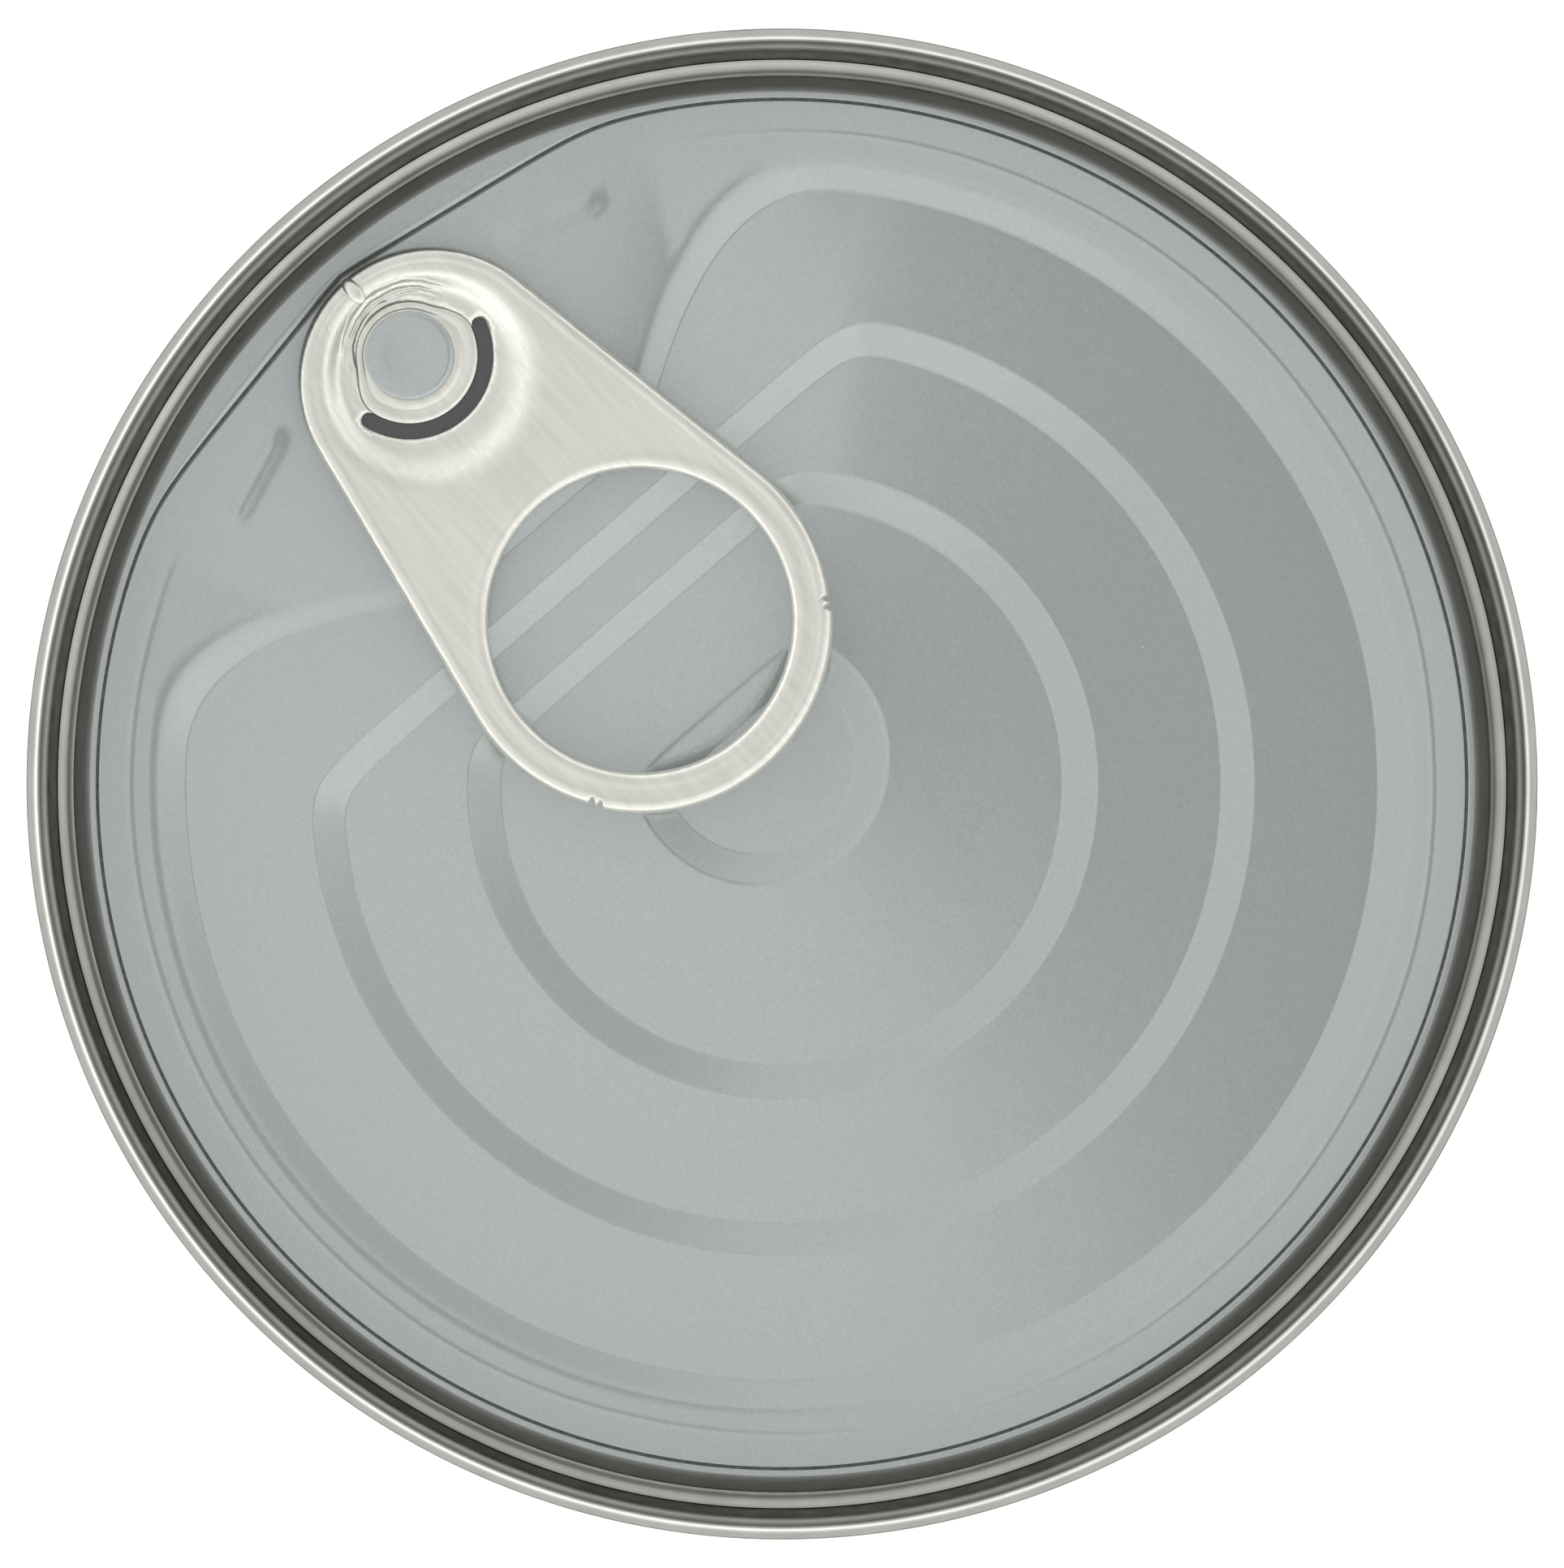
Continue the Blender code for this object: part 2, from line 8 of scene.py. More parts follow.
import bmesh
import bpy
from mathutils import Matrix, Vector, noise
from mathutils.geometry import delaunay_2d_cdt


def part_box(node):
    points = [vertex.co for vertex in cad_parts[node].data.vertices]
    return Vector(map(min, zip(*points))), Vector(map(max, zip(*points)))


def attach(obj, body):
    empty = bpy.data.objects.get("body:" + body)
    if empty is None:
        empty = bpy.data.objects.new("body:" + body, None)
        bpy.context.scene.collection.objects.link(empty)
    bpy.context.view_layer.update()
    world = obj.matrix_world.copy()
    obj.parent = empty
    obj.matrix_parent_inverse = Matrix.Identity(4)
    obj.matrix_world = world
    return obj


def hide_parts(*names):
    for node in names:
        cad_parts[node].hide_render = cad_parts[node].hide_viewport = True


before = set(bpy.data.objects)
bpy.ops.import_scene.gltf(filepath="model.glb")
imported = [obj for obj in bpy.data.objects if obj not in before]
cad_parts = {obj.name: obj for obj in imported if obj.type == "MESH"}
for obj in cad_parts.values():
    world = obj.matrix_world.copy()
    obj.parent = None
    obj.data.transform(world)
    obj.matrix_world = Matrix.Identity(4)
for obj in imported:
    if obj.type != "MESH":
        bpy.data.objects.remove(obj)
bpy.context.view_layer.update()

MM = 0.001

# The can and its end.
SEAM_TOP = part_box("end_ring")[1].z
PANEL_TOP = SEAM_TOP - 3.0 * MM
SHEET = 0.22 * MM
TURN_STEPS = 288

# The score and the panel inside it. Angles are counted from the nose direction, -Y, towards +X.
SCORE_RADIUS = 34.57 * MM
SCORE_APEX = 34.0 * MM
SCORE_SLOPE = 0.171
SCORE_GROOVE = 0.15 * MM
SCORE_DEPTH = 0.06 * MM
PANEL_STEPS = 480
BULGE = 0.2 * MM  # pressure in the can domes the panel by this much at its middle
TERRACE_TILTS = (-0.03, 0.042, 0.04, 0.036, 0.006)  # and tips each level outwards, from the score inwards
WIDEST_TIP = 7 * MM
SAFETY_LINE = 32.88 * MM
SAFETY_LINE_START = math.radians(27)

# The pull tab. Stations are distances from the can's axis towards the nose.
RIVET_STATION = 28.65 * MM
NOSE_STATION, NOSE_RADIUS = 26.9 * MM, 6.81 * MM
RING_STATION, RING_RADIUS = 10.93 * MM, 9.66 * MM
FINGER_HOLE_RADIUS = 7.65 * MM
TAB_BOTTOM = PANEL_TOP + 0.2 * MM
ROLL_RADIUS = 0.54 * MM  # the tab's rolled outer edge
HOLE_ROLL_RADIUS = 0.5 * MM
TAB_CREST = TAB_BOTTOM + 2 * ROLL_RADIUS
TAB_WEB = TAB_CREST - 0.03 * MM
TAB_SHEET = 0.24 * MM
WEB_INSET = 0.82 * MM
HOLE_WEB_INSET = 1.02 * MM
DISH_STATION = 27.75 * MM
DISH_FLOOR_RADIUS = 4.0 * MM
DISH_FLOOR = PANEL_TOP + 0.46 * MM
SLOT_INNER, SLOT_OUTER = 3.46 * MM, 4.24 * MM
SLOT_HALF_ANGLE = math.radians(73)
ISLAND_EDGE = 2.72 * MM
ISLAND_GAP = 0.012 * MM
NOTCH_ANGLE = math.radians(125.5)

# The balls, from the bottom, and how each is turned: degrees about X, Y and Z.
BALL_RADIUS = 33.0 * MM
BALL_TURNS = ((20, 65, 10), (75, -30, 140), (-40, 25, 250))
BALL_BODIES = ("ball_low", "ball_mid", "ball_top")
SEAM_CURVE = 0.25
CHANNEL_HALF_WIDTH = 1.0 * MM

# The view: straight down on the end, turned so that the nose points up and to the left.
CAMERA_TURN = math.radians(139)
VIEW_WIDTH = 79.05 * MM
LENS, SENSOR = 600, 36


# ---------------------------------------------------------------- meshes


def finish_mesh(name, form, look):
    """A smooth object from a bmesh, with its faces pointing out."""
    bmesh.ops.recalc_face_normals(form, faces=form.faces)
    mesh = bpy.data.meshes.new(name)
    form.to_mesh(mesh)
    form.free()
    mesh.shade_smooth()
    obj = bpy.data.objects.new(name, mesh)
    bpy.context.scene.collection.objects.link(obj)
    mesh.materials.append(look)
    return obj


def skin(form, rows, closed_rows=False, closed_columns=True):
    """Quads over rows of vertices; a row or column that closes joins its last vertex to its first."""
    count, width = len(rows), len(rows[0])
    for i in range(count if closed_rows else count - 1):
        following = rows[(i + 1) % count]
        for j in range(width if closed_columns else width - 1):
            k = (j + 1) % width
            corners = list(dict.fromkeys((rows[i][j], rows[i][k], following[k], following[j])))
            if len(corners) > 2:
                form.faces.new(corners)


def turned(name, section, look, steps=TURN_STEPS):
    """A closed section of (radius, height) turned about Z. Points on the axis are shared."""
    form = bmesh.new()
    angles = [math.tau * i / steps for i in range(steps)]
    rows = []
    for radius, z in section:
        if radius == 0:
            rows.append([form.verts.new((0, 0, z))] * steps)
        else:
            rows.append([form.verts.new((radius * math.cos(a), radius * math.sin(a), z)) for a in angles])
    skin(form, rows, closed_rows=True)
    return finish_mesh(name, form, look)


def eased(points, rounds=3):
    """A smooth curve through the middles of a path's spans, by cutting its corners; the ends stay."""
    for _ in range(rounds):
        cut = [points[0]]
        for a, b in zip(points, points[1:]):
            cut.append(tuple(0.75 * p + 0.25 * q for p, q in zip(a, b)))
            cut.append(tuple(0.25 * p + 0.75 * q for p, q in zip(a, b)))
        points = cut + [points[-1]]
    return points


def backed(path, thickness_at):
    """The closed section of a sheet whose shown side follows path, a list of (radius, height)."""
    hidden = []
    for i, (r, z) in enumerate(path):
        before, after = path[max(0, i - 1)], path[min(len(path) - 1, i + 1)]
        along = Vector((after[0] - before[0], after[1] - before[1])).normalized()
        thickness = thickness_at(r, z)
        hidden.append((max(0.0, r + along.y * thickness) if r else 0.0, z - along.x * thickness))
    return path + hidden[::-1]


def smoothstep(low, high, value):
    share = min(1.0, max(0.0, (value - low) / (high - low)))
    return share * share * (3 - 2 * share)


def show(obj, body, slot, *nodes):
    """Tie a piece to the body it moves with, and hide the nodes it stands in for. The slot is not used."""
    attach(obj, body)
    if nodes:
        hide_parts(*nodes)
    return obj


# ---------------------------------------------------------------- materials


def node(tree, kind, inputs=None, **settings):
    """A shader node. Inputs are values, or another node's output to link."""
    made = tree.nodes.new("ShaderNode" + kind)
    for key, value in settings.items():
        setattr(made, key, value)
    for key, value in (inputs or {}).items():
        if isinstance(value, bpy.types.NodeSocket):
            tree.links.new(value, made.inputs[key])
        else:
            made.inputs[key].default_value = value
    return made


def new_material(name, **values):
    made = bpy.data.materials.new(name)
    made.use_nodes = True
    tree = made.node_tree
    shader = tree.nodes["Principled BSDF"]
    for key, value in values.items():
        socket = shader.inputs[key.replace("_", " ")]
        socket.default_value = (*value, 1.0) if isinstance(value, tuple) and len(value) == 3 else value
    return made, tree, shader


def place(tree, scale=(1, 1, 1), turn=0.0):
    """Object coordinates, stretched and turned about Z."""
    coordinates = node(tree, "TexCoord")
    inputs = {"Vector": coordinates.outputs["Object"], "Scale": scale, "Rotation": (0, 0, turn)}
    return node(tree, "Mapping", inputs).outputs["Vector"]


def noise_at(tree, vector, scale, detail=3.0, roughness=0.5):
    inputs = {"Vector": vector, "Scale": scale, "Detail": detail, "Roughness": roughness}
    return node(tree, "TexNoise", inputs).outputs["Fac"]


def ramp(tree, value, low, high, start=0.3, end=0.7):
    """Value between two colours or two numbers as it goes from start to end."""
    if isinstance(low, tuple):
        made = node(tree, "ValToRGB", {"Fac": value})
        made.color_ramp.elements[0].position = start
        made.color_ramp.elements[1].position = end
        made.color_ramp.elements[0].color = (*low, 1)
        made.color_ramp.elements[1].color = (*high, 1)
        return made.outputs["Color"]
    inputs = {"Value": value, "From Min": start, "From Max": end, "To Min": low, "To Max": high}
    return node(tree, "MapRange", inputs, interpolation_type="SMOOTHSTEP").outputs["Result"]


def blended(tree, share, first, second, mode="MIX"):
    made = node(tree, "Mix", {"Factor": share}, data_type="RGBA", blend_type=mode)
    for socket, value in zip((made.inputs[6], made.inputs[7]), (first, second)):
        if isinstance(value, bpy.types.NodeSocket):
            tree.links.new(value, socket)
        else:
            socket.default_value = (*value, 1.0)
    return made.outputs[2]


def maths(tree, operation, a, b=0.0):
    made = node(tree, "Math", operation=operation)
    for socket, value in zip(made.inputs, (a, b)):
        if isinstance(value, bpy.types.NodeSocket):
            tree.links.new(value, socket)
        else:
            socket.default_value = value
    return made.outputs["Value"]


def bump(tree, shader, *layers):
    """Bump layers of (height socket, distance in metres, strength), laid over one another."""
    normal = None
    for height, distance, strength in layers:
        inputs = {"Height": height, "Distance": distance, "Strength": strength}
        if normal:
            inputs["Normal"] = normal
        normal = node(tree, "Bump", inputs).outputs["Normal"]
    tree.links.new(normal, shader.inputs["Normal"])


def specks(tree, vector, spacing, size, rarity):
    """Mask of sparse round specks: one in every few cells of that spacing."""
    cells = node(tree, "TexVoronoi", {"Vector": vector, "Scale": 1 / spacing, "Randomness": 1.0})
    near = maths(tree, "LESS_THAN", cells.outputs["Distance"], size / spacing)
    chosen = node(tree, "SeparateColor", {"Color": cells.outputs["Color"]}).outputs["Red"]
    return maths(tree, "MULTIPLY", near, maths(tree, "GREATER_THAN", chosen, 1 - rarity))


def polar(tree, radial, around, up):
    """Coordinates that follow the can: radius, angle and height, each with its own scale."""
    point = node(tree, "SeparateXYZ", {"Vector": node(tree, "TexCoord").outputs["Object"]})
    x, y, z = (point.outputs[k] for k in "XYZ")
    flat = node(tree, "CombineXYZ", {"X": x, "Y": y})
    length = node(tree, "VectorMath", {0: flat.outputs["Vector"]}, operation="LENGTH").outputs["Value"]
    angle = maths(tree, "ARCTAN2", y, x)
    inputs = {
        "X": maths(tree, "MULTIPLY", length, radial),
        "Y": maths(tree, "MULTIPLY", angle, around),
        "Z": maths(tree, "MULTIPLY", z, up),
    }
    return node(tree, "CombineXYZ", inputs).outputs["Vector"]


def level_distance(tree, centre, vector=None):
    """Distance from a vertical line through centre."""
    off = node(tree, "VectorMath", {0: vector or place(tree), 1: centre}, operation="SUBTRACT")
    level = node(tree, "VectorMath", {0: off.outputs["Vector"], 1: (1, 1, 0)}, operation="MULTIPLY")
    return node(tree, "VectorMath", {0: level.outputs["Vector"]}, operation="LENGTH").outputs["Value"]


def band(tree, value, start, full, fading, end):
    """Mask that rises from start to full and falls from fading to end."""
    return maths(tree, "MULTIPLY", ramp(tree, value, 0, 1, start, full), ramp(tree, value, 1, 0, fading, end))


def lacquer_colour(tree):
    """Grey lacquer: a fine, slightly uneven pigment with sparse dark and light specks."""
    fine = noise_at(tree, place(tree), 5200, 3, 0.65)
    cloud = noise_at(tree, place(tree), 130, 3)
    base = ramp(tree, fine, (0.425, 0.46, 0.46), (0.485, 0.522, 0.52))
    base = blended(tree, ramp(tree, cloud, 0.0, 0.3), base, (0.46, 0.49, 0.485))
    dark = specks(tree, place(tree), 4.5 * MM, 0.075 * MM, 0.16)
    light = specks(tree, place(tree, turn=1.1), 3.5 * MM, 0.06 * MM, 0.14)
    base = blended(tree, dark, base, (0.04, 0.045, 0.045))
    return blended(tree, light, base, (0.7, 0.72, 0.72)), fine, cloud


def lacquer():
    made, tree, shader = new_material("panel_lacquer", Metallic=0.5)
    colour, fine, cloud = lacquer_colour(tree)
    reach = level_distance(tree, (0, -RIVET_STATION, 0))
    # Painted shade: a dark ring in the lacquer round the rivet, on the top side only, stands in for the shade
    # seen through the tab's slot.
    painted_slot_shade = band(tree, reach, 3.0 * MM, 3.3 * MM, 4.2 * MM, 4.7 * MM)
    above = node(tree, "SeparateXYZ", {"Vector": node(tree, "TexCoord").outputs["Normal"]}).outputs["Z"]
    painted_slot_shade = maths(tree, "MULTIPLY", painted_slot_shade, ramp(tree, above, 0, 0.85, 0.0, 0.5))
    colour = blended(tree, painted_slot_shade, colour, (0.05, 0.052, 0.05))
    rolled = noise_at(tree, place(tree, (1, 0.35, 1), math.radians(-35)), 7000, 2)
    tree.links.new(colour, shader.inputs["Base Color"])
    tree.links.new(ramp(tree, rolled, 0.11, 0.16), shader.inputs["Roughness"])
    bump(tree, shader, (fine, 0.004 * MM, 0.3), (rolled, 0.004 * MM, 0.25), (cloud, 0.05 * MM, 0.25))
    return made


# (radius in millimetres, tone) of the dull tinplate: painted light and shade, dark bands standing in for
# shade and light bands for reflections in the seam's folds.
PAINTED_LIGHT_BANDS = (
    (35.0, 0.45),
    (35.15, 0.54),
    (35.4, 0.66),
    (35.6, 0.64),
    (35.72, 0.95),
    (35.84, 0.4),
    (36.0, 0.15),
    (36.2, 0.45),
    (36.4, 0.54),
    (36.57, 0.42),
    (36.68, 0.1),
    (36.95, 0.04),
    (37.03, 0.2),
    (37.13, 0.4),
    (37.36, 0.13),
    (37.48, 0.44),
    (37.58, 0.76),
    (37.7, 0.37),
    (37.8, 0.28),
    (37.92, 0.32),
    (38.1, 0.6),
)


def end_finish():
    """Dull tinplate over the seam and the countersink, banded with painted light and shade, with the panel's
    lacquer outside the score.
    """
    made, tree, shader = new_material("end_finish", Specular_Tint=(0.25, 0.25, 0.24))
    grain = noise_at(tree, polar(tree, 3000, 40, 300), 1.0, 2)
    stains = noise_at(tree, place(tree), 420, 4, 0.6)
    metal = ramp(tree, stains, (0.9, 0.91, 0.88), (1.0, 1.0, 0.98), 0.35, 0.65)
    specked = specks(tree, place(tree), 3.2 * MM, 0.07 * MM, 0.12)
    metal = blended(tree, specked, metal, (0.16, 0.14, 0.1))
    radius = level_distance(tree, (0, 0, 0))
    # Painted light and shade: the banded tones, by radius, darken and lighten the metal's colour.
    first, last = PAINTED_LIGHT_BANDS[0][0], PAINTED_LIGHT_BANDS[-1][0]
    share = maths(tree, "DIVIDE", maths(tree, "SUBTRACT", radius, first * MM), (last - first) * MM)
    painted_band_tones = node(tree, "ValToRGB", {"Fac": share})
    stops = painted_band_tones.color_ramp.elements
    for at, tone in PAINTED_LIGHT_BANDS[1:-1]:
        stops.new((at - first) / (last - first)).color = (tone, tone * 1.01, tone * 0.97, 1)
    for stop, (_, tone) in ((stops[0], PAINTED_LIGHT_BANDS[0]), (stops[-1], PAINTED_LIGHT_BANDS[-1])):
        stop.color = (tone, tone * 1.01, tone * 0.99, 1)
    metal = blended(tree, 1.0, metal, painted_band_tones.outputs["Color"], "MULTIPLY")
    colour, fine, _ = lacquer_colour(tree)
    coated = ramp(tree, radius, 1.0, 0.0, 34.88 * MM, 35.06 * MM)
    tree.links.new(blended(tree, coated, metal, colour), shader.inputs["Base Color"])
    bare = ramp(tree, radius, 0.1, 1.0, 35.6 * MM, 35.78 * MM)
    sheen = ramp(tree, radius, 0.4, 0.0, 34.88 * MM, 35.06 * MM)
    tree.links.new(maths(tree, "ADD", bare, sheen), shader.inputs["Metallic"])
    tree.links.new(ramp(tree, grain, 0.15, 0.21), shader.inputs["Roughness"])
    bump(tree, shader, (grain, 0.003 * MM, 0.1), (stains, 0.02 * MM, 0.1), (fine, 0.002 * MM, 0.15))
    return made


def bare_sheet():
    """The tab's metal, with its rolling grain along Y."""
    made, tree, shader = new_material("tab_metal", Metallic=1.0, Anisotropic=0.3)
    grain = noise_at(tree, place(tree, (9000, 620, 9000), math.radians(4)), 1.0, 3, 0.6)
    streaks = noise_at(tree, place(tree, (3200, 170, 3200), math.radians(4)), 1.0, 2)
    colour = ramp(tree, streaks, (0.77, 0.768, 0.71), (0.87, 0.868, 0.81), 0.3, 0.75)
    colour = blended(tree, ramp(tree, grain, 0.0, 0.3), colour, (0.66, 0.655, 0.61))
    tree.links.new(colour, shader.inputs["Base Color"])
    tree.links.new(ramp(tree, grain, 0.32, 0.44), shader.inputs["Roughness"])
    folds = creases(tree)
    bump(tree, shader, (grain, 0.005 * MM, 0.45), (streaks, 0.008 * MM, 0.25), (folds, 0.05 * MM, 0.8))
    return made


def creases(tree):
    """Height of the crescent creases that bending leaves between the rivet and the nose."""
    wobble = node(tree, "TexNoise", {"Vector": place(tree), "Scale": 600.0, "Detail": 3.0})
    sway = {0: wobble.outputs["Color"], 1: (0.5 * MM, 0.5 * MM, 0)}
    bent = node(tree, "VectorMath", sway, operation="MULTIPLY")
    swayed = node(tree, "VectorMath", {0: place(tree), 1: bent.outputs["Vector"]}, operation="ADD")
    point = swayed.outputs["Vector"]
    reach = level_distance(tree, (0, 0.25 * MM - RIVET_STATION, 0), point)
    waves = maths(tree, "SINE", maths(tree, "MULTIPLY", reach, math.tau / (0.3 * MM)))
    near = band(tree, reach, 2.7 * MM, 3.0 * MM, 3.2 * MM, 3.9 * MM)
    along = node(tree, "SeparateXYZ", {"Vector": point}).outputs["Y"]
    behind = ramp(tree, along, 1, 0, -RIVET_STATION - 2.15 * MM, -RIVET_STATION - 0.75 * MM)
    return maths(tree, "MULTIPLY", waves, maths(tree, "MULTIPLY", near, behind))


def groove_shade_paint():
    """Bare metal deep in the score's groove, painted dark to stand in for the shade there."""
    made, tree, shader = new_material("score_groove_painted_shade", Metallic=0.6, Roughness=0.7)
    grain = noise_at(tree, place(tree), 4000, 3)
    # Painted shade: these dark tones stand in for the shade deep in the narrow groove.
    tree.links.new(ramp(tree, grain, (0.1, 0.104, 0.098), (0.17, 0.175, 0.165)), shader.inputs["Base Color"])
    bump(tree, shader, (grain, 0.02 * MM, 0.5))
    return made


def clear_plastic():
    """Clear blow-moulded wall, tinted where it is seen edge on."""
    made, tree, shader = new_material("clear_plastic", Transmission_Weight=1.0, IOR=1.5)
    facing = node(tree, "LayerWeight", {"Blend": 0.4}).outputs["Facing"]
    tint = ramp(tree, facing, (0.97, 0.985, 0.985), (0.45, 0.56, 0.57), 0.35, 0.98)
    tree.links.new(tint, shader.inputs["Base Color"])
    flow = noise_at(tree, polar(tree, 40, 3, 90), 1.0, 2)
    scuffs = noise_at(tree, place(tree), 900, 4, 0.7)
    tree.links.new(ramp(tree, scuffs, 0.02, 0.09, 0.45, 0.75), shader.inputs["Roughness"])
    bump(tree, shader, (flow, 0.15 * MM, 0.12))
    return made


def label_print():
    """A plain two-colour pattern: lime borders, a pale band that waves like a ball's seam, and fine dots."""
    made, tree, shader = new_material("label_print", Roughness=0.35, Coat_Weight=0.3, Coat_Roughness=0.15)
    low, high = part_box("label_sleeve")
    middle, half = (low.z + high.z) / 2, (high.z - low.z) / 2
    point = node(tree, "SeparateXYZ", {"Vector": node(tree, "TexCoord").outputs["Object"]})
    x, y, z = (point.outputs[k] for k in "XYZ")
    angle = maths(tree, "ARCTAN2", y, x)
    height = maths(tree, "SUBTRACT", z, middle)
    wave = maths(tree, "MULTIPLY", maths(tree, "SINE", maths(tree, "MULTIPLY", angle, 2.0)), 0.5 * half)
    off_wave = maths(tree, "ABSOLUTE", maths(tree, "SUBTRACT", height, wave))
    from_middle = maths(tree, "ABSOLUTE", height)
    ink = ramp(tree, from_middle, (0.006, 0.12, 0.09), (0.004, 0.04, 0.05), 0.0, half)
    dots_at = node(
        tree,
        "CombineXYZ",
        {"X": maths(tree, "MULTIPLY", angle, 36.0), "Y": maths(tree, "MULTIPLY", z, 970.0)},
    )
    dots = node(tree, "TexVoronoi", {"Vector": dots_at.outputs["Vector"], "Scale": 1.0, "Randomness": 0.0})
    dotted = ramp(tree, dots.outputs["Distance"], 0.35, 0.0, 0.24, 0.3)
    under_wave = maths(tree, "LESS_THAN", height, wave)
    ink = blended(tree, maths(tree, "MULTIPLY", dotted, under_wave), ink, (0.03, 0.25, 0.12))
    band = ramp(tree, off_wave, 1.0, 0.0, 2.3 * MM, 2.5 * MM)
    edge = ramp(tree, off_wave, 1.0, 0.0, 3.4 * MM, 3.6 * MM)
    border = maths(tree, "GREATER_THAN", from_middle, half - 5.0 * MM)
    pin = maths(tree, "GREATER_THAN", from_middle, half - 6.4 * MM)
    inner_pin = maths(tree, "LESS_THAN", from_middle, half - 5.9 * MM)
    ink = blended(tree, edge, ink, (0.004, 0.05, 0.05))
    ink = blended(tree, band, ink, (0.84, 0.85, 0.8))
    ink = blended(tree, maths(tree, "MULTIPLY", pin, inner_pin), ink, (0.84, 0.85, 0.8))
    ink = blended(tree, border, ink, (0.42, 0.56, 0.03))
    paper = noise_at(tree, place(tree), 700, 4, 0.6)
    ink = blended(tree, ramp(tree, paper, 0.0, 0.03), ink, (0.9, 0.9, 0.88), "SCREEN")
    tree.links.new(ink, shader.inputs["Base Color"])
    ripples = noise_at(tree, polar(tree, 10, 2.5, 45), 1.0, 2)
    bump(tree, shader, (ripples, 0.25 * MM, 0.15), (paper, 0.01 * MM, 0.2))
    return made


def felt():
    """Optic-yellow felt: fibres over softer tufts."""
    made, tree, shader = new_material("ball_felt", Roughness=0.95, Sheen_Weight=0.3, Sheen_Roughness=0.4)
    shader.inputs["Sheen Tint"].default_value = (0.95, 1.0, 0.6, 1.0)
    fibres = noise_at(tree, place(tree), 2600, 5, 0.75)
    tufts = noise_at(tree, place(tree), 520, 4, 0.65)
    colour = ramp(tree, fibres, (0.34, 0.46, 0.004), (0.62, 0.77, 0.02), 0.32, 0.7)
    colour = blended(tree, ramp(tree, tufts, 0.0, 0.45), colour, (0.36, 0.47, 0.01))
    tree.links.new(colour, shader.inputs["Base Color"])
    bump(tree, shader, (tufts, 0.8 * MM, 0.8), (fibres, 0.3 * MM, 0.9))
    return made


def rubber(name, low, high):
    """Matt rubber between two shades."""
    made, tree, shader = new_material(name, Roughness=0.7)
    texture = noise_at(tree, place(tree), 1400, 4, 0.6)
    tree.links.new(ramp(tree, texture, low, high), shader.inputs["Base Color"])
    bump(tree, shader, (texture, 0.08 * MM, 0.4))
    return made


# ---------------------------------------------------------------- the end's outlines


def rounded_min(a, b, sharpness=30):
    """The lesser of two radii, with the corner where they meet rounded off."""
    return (a**-sharpness + b**-sharpness) ** (-1 / sharpness)


def chord(distance, angle, slope=0.0):
    """Radius, at an angle, of a straight edge that far from the axis, or of two that meet at a point."""
    reach = math.cos(angle) + slope * abs(math.sin(angle))
    return distance / reach if math.cos(angle) > 0.05 else 1.0


def score_radius(angle):
    """The score's line: round, but drawn to a blunt point in front of the nose."""
    return rounded_min(SCORE_RADIUS, chord(SCORE_APEX, angle, SCORE_SLOPE), 120)


def keyhole(radius, flat, start, end):
    """A circle that comes in, between two angles in degrees, to a flat across the tab."""
    low, high = math.radians(start), math.radians(end)

    def radius_at(angle):
        ease = smoothstep(low, high, abs(angle))
        return radius if ease == 1 else chord(flat, angle) * (1 - ease) + radius * ease

    return radius_at


def dee(radius, flat):
    """A circle cut off by a flat across the tab."""
    return lambda angle: rounded_min(radius, chord(flat, angle))


def well(radius, flat):
    """The finger well's outline, whose round side is centred a little towards the nose."""
    centre = 1.83 * MM

    def radius_at(angle):
        swing = centre * math.cos(angle) + math.sqrt(radius**2 - (centre * math.sin(angle)) ** 2)
        return rounded_min(swing, chord(flat, angle), 12)

    return radius_at


# (outer edge, inner edge, drop, share rounded at the top) of each bead's slope, from the score inwards.
BEADS = (
    (keyhole(31.95 * MM, 19.4 * MM, 15, 42), keyhole(30.08 * MM, 17.8 * MM, 16.5, 46.5), 0.4 * MM, 0.45),
    (dee(23.82 * MM, 15.71 * MM), dee(22.18 * MM, 14.24 * MM), 0.35 * MM, 0.08),
    (dee(15.92 * MM, 11.99 * MM), dee(14.2 * MM, 10.56 * MM), 0.35 * MM, 0.08),
    (well(6.6 * MM, 5.3 * MM), well(4.9 * MM, 3.5 * MM), 0.17 * MM, 0.2),
)


def pressed(share, top, foot=0.07):
    """How far down a pressed slope is: straight, with its ends rounded over those shares of its width."""
    steepness = 1 / (1 - (top + foot) / 2)
    if share < top:
        return steepness * share * share / (2 * top)
    if share > 1 - foot:
        return 1 - steepness * (1 - share) ** 2 / (2 * foot)
    return steepness * (share - top / 2)


def off_segment(point, start, end):
    """Distance of a point from a straight line between two others."""
    along = end - start
    share = min(1, max(0, (point - start).dot(along) / along.length_squared))
    return (point - start - along * share).length


def relief(x, y):
    """Small embossing on the panel: a short rib each side of the tab, and the fold inside the score."""
    point = Vector((abs(x), y))
    rib = off_segment(point, Vector((8.0, -29.9)) * MM, Vector((11.9, -28.4)) * MM)
    height = 0.09 * MM * (1 - smoothstep(0.05 * MM, 0.75 * MM, rib))
    radius, angle = math.hypot(x, y), abs(math.atan2(x, -y))
    line = SAFETY_LINE + 0.06 * MM * math.sin(9 * angle) * math.sin(2.3 * angle)
    fold = 1 - smoothstep(0, 0.2 * MM, abs(radius - line))
    return height + 0.016 * MM * fold * smoothstep(SAFETY_LINE_START, SAFETY_LINE_START + 0.05, angle)


# ---------------------------------------------------------------- the end


